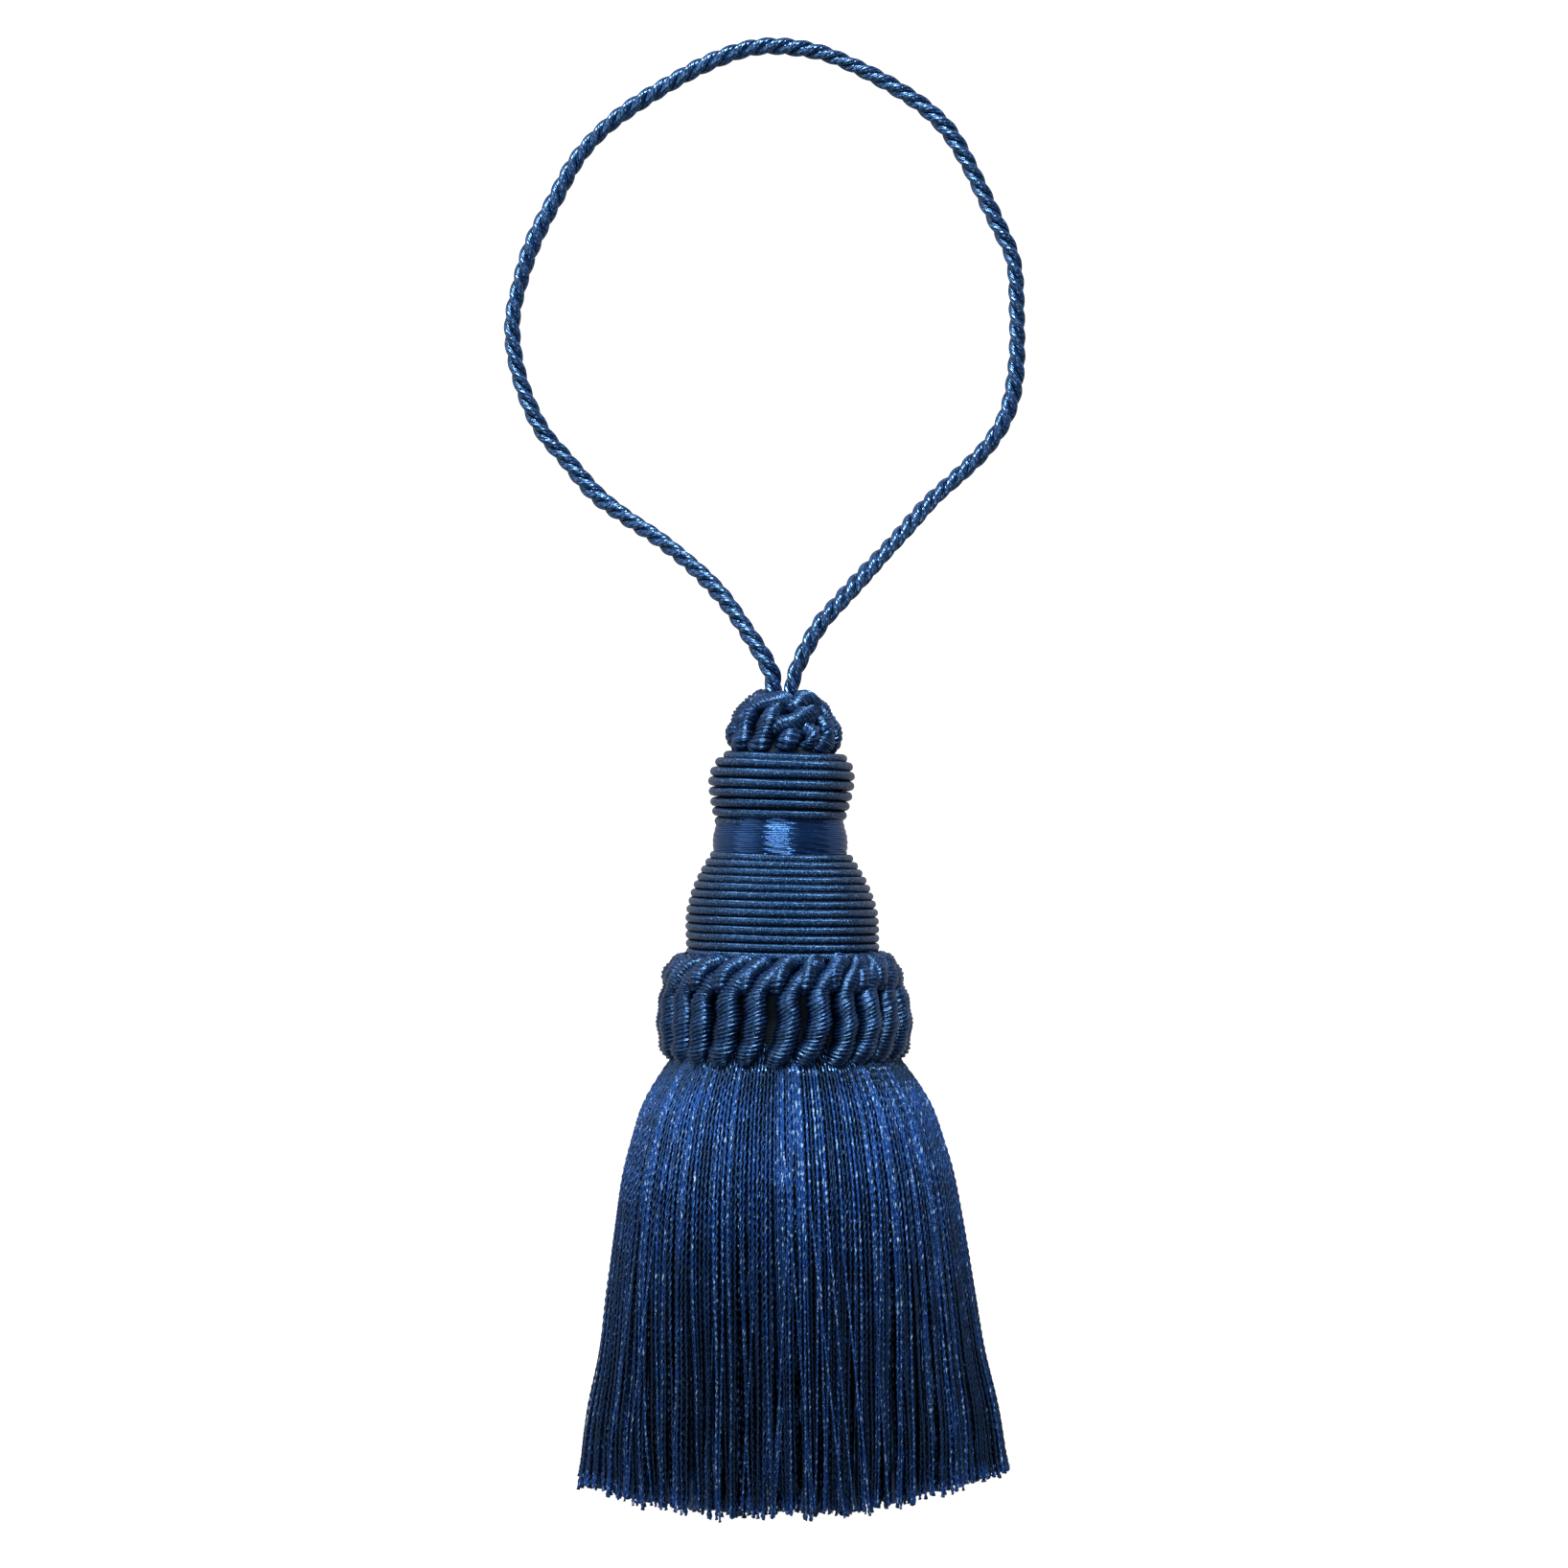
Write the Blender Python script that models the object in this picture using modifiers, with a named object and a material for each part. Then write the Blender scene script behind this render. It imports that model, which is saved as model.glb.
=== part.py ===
"""A key tassel that lies on its back: a cord loop, a knotted cap, a bound mould, a ruffed collar and a skirt.

Sizes are in metres and +Z is up. The mould's axis runs along Y, with the loop towards +Y, at AXIS_HEIGHT above
the floor, z = 0. The origin is on the floor under the middle of the collar, which is pressed flat there.
"""
import math
import random

import bmesh
import bpy
from mathutils import Matrix, Vector

AXIS_HEIGHT = 0.0205  # the mould's axis above the floor
GAP = 0.0003  # between two pieces that touch

# Places along the axis, from the middle of the collar
CAP_TOP = 0.0542
CAP_DIMPLE = 0.0523  # the floor of the hollow that the cord comes out of
CAP_FOOT = 0.0446
UPPER_BINDING_FOOT = 0.0328
WAIST_FOOT = 0.0276
LOWER_BINDING_FOOT = 0.0098
COLLAR_LAND = LOWER_BINDING_FOOT - GAP
COLLAR_FOOT = -0.0073

# The hanging cord
CORD_DIAMETER = 0.0028
CORD_PLIES = 3
FLOOR_HEIGHT = 0.00145  # of the cord's middle where it lies on the floor
CORD_LAY = 0.0088  # length in which a ply goes once round
STEPS_PER_PLY = 3
PLY_NOTCH = 0.68  # depth of the groove between plies, as a share of the cord's radius
ROUTE_SAMPLES = 24  # between two of the route's points

# Rings of gimp round the mould
UPPER_TURNS = 8
LOWER_TURNS = 13
BINDING_STEPS = 24
THREAD_RELIEF = 0.00045  # groove between two turns

# Ruffs of thick cord
CAP_WRAPS = 9
COLLAR_WRAPS = 24
STEPS_PER_WRAP = 6

# The skirt of bullion yarns, in locks
LOCK_ROWS = 3
LOCKS_A_ROW = 50
LOCK_THICKNESS = 0.0018
ROW_SPACING = 0.0024
LOCK_FILL = 0.75  # a lock's width, as a share of its place
HEADING_RADIUS = 0.02015
HEADING_TOP = COLLAR_FOOT - GAP
HEADING_FOOT = HEADING_TOP - 0.001
TIP_MIDDLE = -0.0855  # where the longest locks end
TIP_RISE = 0.0060  # how much sooner the outermost locks end
TIP_HALF_WIDTH = 0.0369
SKIRT_DRIFT = 0.0013  # how far the skirt's end lies towards +X
END_JITTER = 0.0009
SIDE_JITTER = 0.045  # of a lock's place
SIDE_SINK = 0.45  # how much thinner the skirt's sides lie than its middle, at its end
SEED = 11

# columns: across, along, height
LOOP_ROUTE = (
    (-0.0017, CAP_DIMPLE + GAP, AXIS_HEIGHT),
    (-0.0019, 0.0569, AXIS_HEIGHT),
    (-0.0034, 0.0603, 0.0204),
    (-0.0061, 0.0645, 0.0196),
    (-0.0099, 0.0700, 0.0174),
    (-0.0146, 0.0751, 0.0141),
    (-0.0206, 0.0802, 0.0100),
    (-0.0271, 0.0847, 0.0060),
    (-0.0323, 0.0888, 0.0032),
    (-0.0376, 0.0950, 0.0016),
    (-0.0416, 0.0998, FLOOR_HEIGHT),
    (-0.0446, 0.1061, FLOOR_HEIGHT),
    (-0.0464, 0.1127, FLOOR_HEIGHT),
    (-0.0468, 0.1188, FLOOR_HEIGHT),
    (-0.0457, 0.1246, FLOOR_HEIGHT),
    (-0.0433, 0.1322, FLOOR_HEIGHT),
    (-0.0393, 0.1401, FLOOR_HEIGHT),
    (-0.0353, 0.1472, FLOOR_HEIGHT),
    (-0.0294, 0.1533, FLOOR_HEIGHT),
    (-0.0211, 0.1589, FLOOR_HEIGHT),
    (-0.0121, 0.1637, FLOOR_HEIGHT),
    (-0.0038, 0.1661, FLOOR_HEIGHT),
    (0.0053, 0.1653, FLOOR_HEIGHT),
    (0.0124, 0.1626, FLOOR_HEIGHT),
    (0.0195, 0.1588, FLOOR_HEIGHT),
    (0.0254, 0.1546, FLOOR_HEIGHT),
    (0.0301, 0.1489, FLOOR_HEIGHT),
    (0.0368, 0.1355, FLOOR_HEIGHT),
    (0.0395, 0.1292, FLOOR_HEIGHT),
    (0.0401, 0.1213, FLOOR_HEIGHT),
    (0.0400, 0.1106, FLOOR_HEIGHT),
    (0.0385, 0.1031, FLOOR_HEIGHT),
    (0.0353, 0.0975, 0.0016),
    (0.0308, 0.0928, 0.0027),
    (0.0253, 0.0877, 0.0056),
    (0.0196, 0.0812, 0.0098),
    (0.0094, 0.0698, 0.0175),
    (0.0055, 0.0650, 0.0196),
    (0.0020, 0.0575, AXIS_HEIGHT),
    (0.0016, CAP_DIMPLE + GAP, AXIS_HEIGHT),
)

# columns: place along the axis, radius over the gimp
UPPER_BINDING = (
    (CAP_FOOT - GAP, 0.0101),
    (0.0426, 0.0113),
    (0.0413, 0.0119),
    (0.0400, 0.0120),
    (0.0377, 0.0118),
    (0.0358, 0.0114),
    (UPPER_BINDING_FOOT, 0.0109),
)
WAIST = (
    (UPPER_BINDING_FOOT - GAP, 0.0107),
    (0.0315, 0.0110),
    (0.0303, 0.0113),
    (0.0288, 0.01135),
    (WAIST_FOOT, 0.0111),
)
LOWER_BINDING = (
    (WAIST_FOOT - GAP, 0.0117),
    (0.0252, 0.0130),
    (0.0232, 0.0141),
    (0.0213, 0.0150),
    (0.0194, 0.0156),
    (0.0165, 0.0162),
    (LOWER_BINDING_FOOT, 0.0162),
)

# columns: radius, place along the axis, groove between wraps, lean in wraps
CAP_RUFF = (
    (0.0000, CAP_DIMPLE, 0.0000, 0.0),
    (0.0033, CAP_DIMPLE, 0.0000, 1.2),
    (0.0037, 0.0536, 0.0004, 1.1),
    (0.0046, CAP_TOP, 0.0008, 0.9),
    (0.0062, 0.0533, 0.0012, 0.6),
    (0.0078, 0.0513, 0.0015, 0.3),
    (0.0093, 0.0491, 0.0016, 0.1),
    (0.0101, 0.0471, 0.0015, 0.0),
    (0.0102, 0.0457, 0.0011, -0.1),
    (0.0095, CAP_FOOT, 0.0003, -0.2),
    (0.0000, CAP_FOOT, 0.0000, 0.0),
)
COLLAR_RUFF = (
    (0.0000, COLLAR_LAND, 0.0000, 0.0),
    (0.0156, COLLAR_LAND, 0.0000, 1.7),
    (0.0168, 0.0104, 0.0003, 1.7),
    (0.0181, 0.0098, 0.0009, 1.4),
    (0.0195, 0.0079, 0.0012, 0.9),
    (0.0206, 0.0052, 0.0015, 0.25),
    (0.0213, 0.0015, 0.0018, 0.0),
    (0.0213, -0.0018, 0.0018, 0.0),
    (0.0207, -0.0046, 0.0015, -0.1),
    (0.0200, -0.0066, 0.0010, -0.3),
    (0.0186, COLLAR_FOOT, 0.0003, -0.45),
    (0.0000, COLLAR_FOOT, 0.0000, 0.0),
)

# columns: share of a lock's run, half width, half height of the skirt's section, and its lowest point
SKIRT_SECTIONS = (
    (0.0, 0.0200, 0.0200, 0.0005),
    (0.075, 0.0240, 0.0205, 0.0),
    (0.22, 0.0273, 0.0208, 0.0),
    (0.5, 0.0309, 0.0165, 0.0),
    (1.0, TIP_HALF_WIDTH, 0.0078, 0.0),
)

# columns: red, green, blue, roughness
COLOURS = {
    "hanging_loop": (0.013, 0.045, 0.150, 0.42),
    "cap_ruff": (0.014, 0.045, 0.165, 0.50),
    "upper_binding": (0.020, 0.062, 0.165, 0.48),
    "waist_floss": (0.018, 0.070, 0.240, 0.35),
    "lower_binding": (0.018, 0.055, 0.150, 0.48),
    "collar_ruff": (0.014, 0.045, 0.165, 0.50),
    "skirt": (0.010, 0.035, 0.140, 0.45),
}


def clear_scene():
    for old in list(bpy.data.objects):
        bpy.data.objects.remove(old, do_unlink=True)


def new_collection(name):
    collection = bpy.data.collections.new(name)
    bpy.context.scene.collection.children.link(collection)
    return collection


def yarn_material(name):
    red, green, blue, roughness = COLOURS[name]
    material = bpy.data.materials.new(name)
    material.use_nodes = True
    shader = material.node_tree.nodes["Principled BSDF"]
    shader.inputs["Base Color"].default_value = (red, green, blue, 1.0)
    shader.inputs["Roughness"].default_value = roughness
    shader.inputs["Metallic"].default_value = 0.0
    return material


def add_piece(collection, name, data):
    piece = bpy.data.objects.new(name, data)
    piece.data.materials.append(yarn_material(name))
    collection.objects.link(piece)
    return piece


def lay_down(piece):
    """Turns a piece built upright on Z onto the tassel's axis: its +Z goes to +Y, its +X stays."""
    piece.matrix_world = Matrix.Translation((0, 0, AXIS_HEIGHT)) @ Matrix.Rotation(-math.pi / 2, 4, "X")


def turned_piece(collection, name, profile, steps):
    """A profile of radius and height, listed from the top down, turned about Z by a Screw modifier."""
    mesh = bpy.data.meshes.new(name)
    points = [(radius, 0.0, height) for radius, height in profile]
    edges = [(i, i + 1) for i in range(len(points) - 1)]
    mesh.from_pydata(points, edges, [])
    piece = add_piece(collection, name, mesh)
    screw = piece.modifiers.new("turn", "SCREW")
    screw.axis = "Z"
    screw.angle = 2 * math.pi
    screw.steps = steps
    screw.render_steps = steps
    screw.use_merge_vertices = True
    screw.merge_threshold = 0.00001
    screw.use_smooth_shade = True
    lay_down(piece)


def radius_at(outline, place):
    """Radius of an outline of place and radius at a place, by straight runs between its rows."""
    for (start, first), (end, second) in zip(outline, outline[1:]):
        if start >= place >= end:
            return first + (second - first) * (start - place) / (start - end)
    return outline[0][1] if place > outline[0][0] else outline[-1][1]


def bound_profile(outline, turns):
    """Outline of a mould bound with gimp: each turn is a flat crown between two grooves."""
    top, foot = outline[0][0], outline[-1][0]
    pitch = (top - foot) / turns
    profile = [(0.0, top)]
    for turn in range(turns):
        start = top - turn * pitch
        for share, relief in ((0.0, THREAD_RELIEF), (0.3, 0.0), (0.7, 0.0)):
            place = start - share * pitch
            profile.append((radius_at(outline, place) - relief, place))
    profile.append((outline[-1][1] - THREAD_RELIEF, foot))
    profile.append((0.0, foot))
    return profile


def build_upper_binding(collection):
    turned_piece(collection, "upper_binding", bound_profile(UPPER_BINDING, UPPER_TURNS), BINDING_STEPS)


def build_lower_binding(collection):
    turned_piece(collection, "lower_binding", bound_profile(LOWER_BINDING, LOWER_TURNS), BINDING_STEPS)


def build_waist_floss(collection):
    profile = [(0.0, WAIST[0][0])]
    profile += [(radius, place) for place, radius in WAIST]
    profile.append((0.0, WAIST[-1][0]))
    turned_piece(collection, "waist_floss", profile, BINDING_STEPS)


def groove_share(step):
    """Depth of a rib's round section at one of its steps: 0 on the crown and 1 in the groove."""
    across = 1.0 - abs(2.0 * step / STEPS_PER_WRAP - 1.0)
    return 1.0 - math.sqrt(1.0 - across * across)


def section_normals(rows):
    """Outward direction, in radius and place, at each row of a ruff's section."""
    normals = []
    for i, row in enumerate(rows):
        before = rows[max(i - 1, 0)]
        after = rows[min(i + 1, len(rows) - 1)]
        along = Vector((after[0] - before[0], after[1] - before[1])).normalized()
        normals.append(Vector((-along.y, along.x)))
    return normals


def build_ruff(collection, name, rows, wraps):
    """Thick cord wound over and under a ring: the section is turned, and its wraps are raised and leant.

    The section starts at the front, where a wrap has its crown. Column k of the turned mesh stays at the same
    place across its wrap. Each row is turned further by its own lean, so the ribs climb to the right at the
    top. What would sink into the floor is pressed flat.
    """
    bm = bmesh.new()
    ends = [bm.verts.new((0.0, -row[0], row[1])) for row in rows]
    edges = [bm.edges.new(pair) for pair in zip(ends, ends[1:])]
    steps = wraps * STEPS_PER_WRAP
    bmesh.ops.spin(bm, geom=ends + edges, axis=(0, 0, 1), steps=steps, angle=2 * math.pi, use_merge=True)
    bmesh.ops.remove_doubles(bm, verts=bm.verts, dist=0.00001)
    normals = section_normals(rows)
    for vert in bm.verts:
        radius = math.hypot(vert.co.x, vert.co.y)
        if radius < 0.0001:
            continue
        index = min(range(len(rows)), key=lambda i: abs(rows[i][0] - radius) + abs(rows[i][1] - vert.co.z))
        groove, lean = rows[index][2:]
        angle = math.atan2(vert.co.y, vert.co.x)
        column = round((angle + math.pi / 2) * steps / (2 * math.pi)) % STEPS_PER_WRAP
        depth = groove * groove_share(column)
        radius -= depth * normals[index].x
        angle += lean * 2 * math.pi / wraps
        vert.co = (radius * math.cos(angle), radius * math.sin(angle), vert.co.z - depth * normals[index].y)
    bmesh.ops.recalc_face_normals(bm, faces=bm.faces)
    mesh = bpy.data.meshes.new(name)
    bm.to_mesh(mesh)
    bm.free()
    mesh.shade_smooth()
    piece = add_piece(collection, name, mesh)
    lay_down(piece)
    mesh.transform(piece.matrix_world)
    piece.matrix_world = Matrix.Identity(4)
    for vert in mesh.vertices:
        vert.co.z = max(vert.co.z, 0.0)


def smooth_route(points):
    """Even-speed Catmull-Rom curve through the route's points, as a dense list."""
    points = [Vector(p) for p in points]
    padded = [2 * points[0] - points[1], *points, 2 * points[-1] - points[-2]]
    curve = []
    for before, start, end, after in zip(padded, padded[1:], padded[2:], padded[3:]):
        for sample in range(ROUTE_SAMPLES):
            t = sample / ROUTE_SAMPLES
            curve.append(
                0.5
                * (
                    2 * start
                    + (end - before) * t
                    + (2 * before - 5 * start + 4 * end - after) * t**2
                    + (3 * start - before - 3 * end + after) * t**3
                )
            )
    curve.append(points[-1])
    return curve


def even_points(curve, spacing):
    """Points at even lengths along a dense curve, both ends included."""
    lengths = [0.0]
    for start, end in zip(curve, curve[1:]):
        lengths.append(lengths[-1] + (end - start).length)
    count = round(lengths[-1] / spacing)
    points = []
    index = 0
    for step in range(count + 1):
        target = lengths[-1] * step / count
        while index < len(lengths) - 2 and lengths[index + 1] < target:
            index += 1
        share = (target - lengths[index]) / (lengths[index + 1] - lengths[index])
        points.append(curve[index].lerp(curve[index + 1], min(share, 1.0)))
    return points


def ply_profile(collection):
    """The cord's section: a crown for each ply and a notch between two of them."""
    data = bpy.data.curves.new("ply_profile", "CURVE")
    data.dimensions = "2D"
    spline = data.splines.new("POLY")
    corners = 2 * CORD_PLIES
    spline.points.add(corners - 1)
    for corner in range(corners):
        radius = CORD_DIAMETER / 2 * (1.0 if corner % 2 == 0 else PLY_NOTCH)
        angle = -corner * 2 * math.pi / corners
        spline.points[corner].co = (radius * math.cos(angle), radius * math.sin(angle), 0.0, 1.0)
    spline.use_cyclic_u = True
    profile = bpy.data.objects.new("ply_profile", data)
    profile.hide_render = True
    profile.display_type = "WIRE"
    collection.objects.link(profile)
    return profile


def build_hanging_loop(collection, guides):
    """The doubled cord: a poly curve with a point for each step of its twist, which the points' tilt gives."""
    spacing = CORD_LAY / (CORD_PLIES * STEPS_PER_PLY)
    points = even_points(smooth_route(LOOP_ROUTE), spacing)
    data = bpy.data.curves.new("hanging_loop", "CURVE")
    data.dimensions = "3D"
    data.twist_mode = "MINIMUM"
    data.bevel_mode = "OBJECT"
    data.bevel_object = ply_profile(guides)
    data.use_fill_caps = True
    data.resolution_u = 1
    data.render_resolution_u = 0
    spline = data.splines.new("POLY")
    spline.points.add(len(points) - 1)
    for index, (slot, point) in enumerate(zip(spline.points, points)):
        slot.co = (*point, 1.0)
        slot.tilt = -index * 2 * math.pi / (CORD_PLIES * STEPS_PER_PLY)
    add_piece(collection, "hanging_loop", data)


def skirt_section(station):
    """Half width, half height and lowest point of the skirt's round-ended section at one of its stations."""
    return SKIRT_SECTIONS[station][1:]


def section_point(station, row, share):
    """Point and outward direction on a row's middle line, at a share of its length round from +X.

    The line is two half circles joined by straight runs, set in from the section's outline by the row's depth.
    """
    half_width, half_height, lowest = skirt_section(station)
    radius = half_height - LOCK_THICKNESS / 2 - row * ROW_SPACING
    straight = half_width - half_height
    quarter = straight + radius * math.pi / 2
    place = (share % 1.0) * 4 * quarter
    side, place = divmod(place, 2 * quarter)
    mirrored = place > quarter
    place = 2 * quarter - place if mirrored else place
    arc = radius * math.pi / 2
    if place < arc:
        angle = place / radius
        x, z = straight + radius * math.cos(angle), radius * math.sin(angle)
        out_x, out_z = math.cos(angle), math.sin(angle)
    else:
        x, z = straight - (place - arc), radius
        out_x, out_z = 0.0, 1.0
    if mirrored:
        x, out_x = -x, -out_x
    if side:
        x, z, out_x, out_z = -x, -z, -out_x, -out_z
    return x, z + lowest + half_height, out_x, out_z


def lock_corner(lock, station, side, outer):
    """One corner of a lock's four-sided section at a station, in world space."""
    share = (lock["place"] + side * LOCK_FILL / 2) / LOCKS_A_ROW
    x, z, out_x, out_z = section_point(station, lock["row"], share)
    run = SKIRT_SECTIONS[station][0]
    tip = TIP_MIDDLE + TIP_RISE * (x / TIP_HALF_WIDTH) ** 2 if run else HEADING_FOOT
    y = HEADING_FOOT + run * (tip + lock["end"] - HEADING_FOOT)
    x += outer * out_x * LOCK_THICKNESS / 2 + SKIRT_DRIFT * run
    z += outer * out_z * LOCK_THICKNESS / 2
    z *= 1.0 - SIDE_SINK * run * (x / TIP_HALF_WIDTH) ** 2
    return Vector((x, y, z))


def skirt_heading(bm):
    """A disc whose lower face is divided into one cell for each lock. Returns the cells with row and place."""
    bounds = [HEADING_RADIUS]
    for row in range(1, LOCK_ROWS + 1):
        bounds.append(SKIRT_SECTIONS[0][1] - row * ROW_SPACING + (ROW_SPACING - LOCK_THICKNESS) / 2)
    half_cell = math.pi / LOCKS_A_ROW
    points = [(HEADING_RADIUS, HEADING_TOP)] + [(radius, HEADING_FOOT) for radius in bounds]
    start = [Vector((r * math.cos(half_cell), y, r * math.sin(half_cell))) for r, y in points]
    verts = [bm.verts.new(point) for point in start]
    edges = [bm.edges.new(pair) for pair in zip(verts, verts[1:])]
    bmesh.ops.spin(
        bm, geom=verts + edges, axis=(0, 1, 0), steps=LOCKS_A_ROW, angle=2 * math.pi, use_merge=True
    )
    bmesh.ops.remove_doubles(bm, verts=bm.verts, dist=0.00001)
    bmesh.ops.holes_fill(bm, edges=[edge for edge in bm.edges if edge.is_boundary], sides=0)
    bmesh.ops.recalc_face_normals(bm, faces=bm.faces)
    bmesh.ops.translate(bm, verts=bm.verts, vec=(0, 0, AXIS_HEIGHT))
    cells = []
    for face in bm.faces:
        middle = face.calc_center_median()
        if len(face.verts) > 4 or face.normal.y > -0.9:
            continue
        radius = math.hypot(middle.x, middle.z - AXIS_HEIGHT)
        row = sum(radius < bound for bound in bounds[1:])
        place = round(math.atan2(middle.z - AXIS_HEIGHT, middle.x) * LOCKS_A_ROW / (2 * math.pi)) % LOCKS_A_ROW
        cells.append((row, place, face))
    return sorted(cells, key=lambda cell: cell[:2])


def grow_lock(bm, cell, lock):
    """Insets a cell of the heading and draws it out along the lock's stations."""
    bmesh.ops.inset_individual(bm, faces=[cell], thickness=0.0001)
    middle = cell.calc_center_median()
    outward = Vector((middle.x, 0.0, middle.z - AXIS_HEIGHT)).normalized()
    onward = Vector((-outward.z, 0.0, outward.x))
    corners = []
    for vert in cell.verts:
        off = vert.co - middle
        corners.append((math.copysign(1, off.dot(onward)), math.copysign(1, off.dot(outward))))
    for station in range(len(SKIRT_SECTIONS)):
        if station:
            cell = bmesh.ops.extrude_discrete_faces(bm, faces=[cell])["faces"][0]
        for vert, (side, outer) in zip(cell.verts, corners):
            vert.co = lock_corner(lock, station, side, outer)


def build_skirt(collection):
    """The locks, drawn out of the heading that the collar hides, down to the floor and level along it."""
    chance = random.Random(SEED)
    bm = bmesh.new()
    for row, place, cell in skirt_heading(bm):
        lock = {
            "row": row,
            "place": place + chance.uniform(-SIDE_JITTER, SIDE_JITTER),
            "end": chance.uniform(-END_JITTER, END_JITTER),
        }
        grow_lock(bm, cell, lock)
    mesh = bpy.data.meshes.new("skirt")
    bm.to_mesh(mesh)
    bm.free()
    add_piece(collection, "skirt", mesh)


def main():
    clear_scene()
    tassel = new_collection("tassel")
    guides = new_collection("guides")
    build_hanging_loop(tassel, guides)
    build_ruff(tassel, "cap_ruff", CAP_RUFF, CAP_WRAPS)
    build_upper_binding(tassel)
    build_waist_floss(tassel)
    build_lower_binding(tassel)
    build_ruff(tassel, "collar_ruff", COLLAR_RUFF, COLLAR_WRAPS)
    build_skirt(tassel)


if __name__ == "__main__":
    main()
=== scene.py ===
"""Dresses the key tassel that lies on its back: every cord, gimp, ruff and yarn as it is spun and wound.

Sizes are in metres and +Z is up. The tassel's axis runs along Y at AXIS_HEIGHT over the floor, with the loop
towards +Y. A turn is measured from the front, the side away from the floor, and grows to the right.
"""
import math
from typing import NamedTuple

import bpy
import numpy as np
from mathutils import Matrix


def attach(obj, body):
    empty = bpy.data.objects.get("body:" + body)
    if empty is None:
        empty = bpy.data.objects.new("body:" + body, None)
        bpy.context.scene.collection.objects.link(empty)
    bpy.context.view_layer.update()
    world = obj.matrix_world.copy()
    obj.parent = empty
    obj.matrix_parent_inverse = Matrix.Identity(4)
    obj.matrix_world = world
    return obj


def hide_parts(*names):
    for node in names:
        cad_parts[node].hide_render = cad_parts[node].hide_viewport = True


bl_info = {
    "name": "Key tassel",
    "version": (1, 0, 0),
    "blender": (4, 5, 0),
    "location": "3D View > Sidebar > Tassel",
    "description": "Winds and spins the cords, gimp, ruffs and yarns of a key tassel round its frame",
    "category": "Object",
}

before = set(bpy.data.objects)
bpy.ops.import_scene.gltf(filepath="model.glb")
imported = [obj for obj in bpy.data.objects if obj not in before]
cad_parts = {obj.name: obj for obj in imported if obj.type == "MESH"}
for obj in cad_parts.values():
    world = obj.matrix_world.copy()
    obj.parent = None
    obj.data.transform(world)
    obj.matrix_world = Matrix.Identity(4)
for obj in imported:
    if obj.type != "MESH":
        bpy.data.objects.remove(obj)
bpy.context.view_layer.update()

MM = 0.001
TURN = 2 * math.pi
UP = np.array((0.0, 0.0, 1.0))
WHITE = (1.0, 1.0, 1.0, 1.0)
ROUTE_SAMPLES = 24  # between two rows of a table that is drawn as a smooth curve

AXIS_HEIGHT = 0.0205
# the head leans a little to the left at its waist; columns: place along the axis, shift across
HEAD_LEAN = (
    (0.0000, 0.0),
    (0.0150, -0.0003),
    (0.0260, -0.0006),
    (0.0330, -0.0007),
    (0.0400, -0.0004),
    (0.0450, 0.0),
)

# ---------------------------------------------------------------- tables of the loop

FLOOR_HEIGHT = 0.00145  # of the loop's middle where it lies on the floor
CAP_DIMPLE = 0.0526  # place along the axis where the loop's two ends go into the cap
# columns: across, along, height
LOOP_ROUTE = (
    (-0.0017, CAP_DIMPLE, AXIS_HEIGHT),
    (-0.0019, 0.0569, AXIS_HEIGHT),
    (-0.0034, 0.0603, 0.0204),
    (-0.0061, 0.0645, 0.0196),
    (-0.0099, 0.0700, 0.0174),
    (-0.0146, 0.0751, 0.0141),
    (-0.0206, 0.0802, 0.0100),
    (-0.0271, 0.0847, 0.0060),
    (-0.0323, 0.0888, 0.0032),
    (-0.0376, 0.0950, 0.0016),
    (-0.0416, 0.0998, FLOOR_HEIGHT),
    (-0.0446, 0.1061, FLOOR_HEIGHT),
    (-0.0464, 0.1127, FLOOR_HEIGHT),
    (-0.0468, 0.1188, FLOOR_HEIGHT),
    (-0.0457, 0.1246, FLOOR_HEIGHT),
    (-0.0433, 0.1322, FLOOR_HEIGHT),
    (-0.0393, 0.1401, FLOOR_HEIGHT),
    (-0.0353, 0.1472, FLOOR_HEIGHT),
    (-0.0294, 0.1533, FLOOR_HEIGHT),
    (-0.0211, 0.1589, FLOOR_HEIGHT),
    (-0.0121, 0.1637, FLOOR_HEIGHT),
    (-0.0038, 0.1661, FLOOR_HEIGHT),
    (0.0053, 0.1653, FLOOR_HEIGHT),
    (0.0124, 0.1626, FLOOR_HEIGHT),
    (0.0195, 0.1588, FLOOR_HEIGHT),
    (0.0254, 0.1546, FLOOR_HEIGHT),
    (0.0301, 0.1489, FLOOR_HEIGHT),
    (0.0368, 0.1355, FLOOR_HEIGHT),
    (0.0395, 0.1292, FLOOR_HEIGHT),
    (0.0401, 0.1213, FLOOR_HEIGHT),
    (0.0400, 0.1106, FLOOR_HEIGHT),
    (0.0385, 0.1031, FLOOR_HEIGHT),
    (0.0353, 0.0975, 0.0016),
    (0.0308, 0.0928, 0.0027),
    (0.0253, 0.0877, 0.0056),
    (0.0196, 0.0812, 0.0098),
    (0.0094, 0.0698, 0.0175),
    (0.0055, 0.0650, 0.0196),
    (0.0018, 0.0575, AXIS_HEIGHT),
    (0.0012, CAP_DIMPLE, AXIS_HEIGHT),
)
PLY_SHARE = 0.245  # a ply's radius over the loop's diameter
PLY_CORNERS = 14
RINGS_A_LAY = 20  # of the loop
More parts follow.
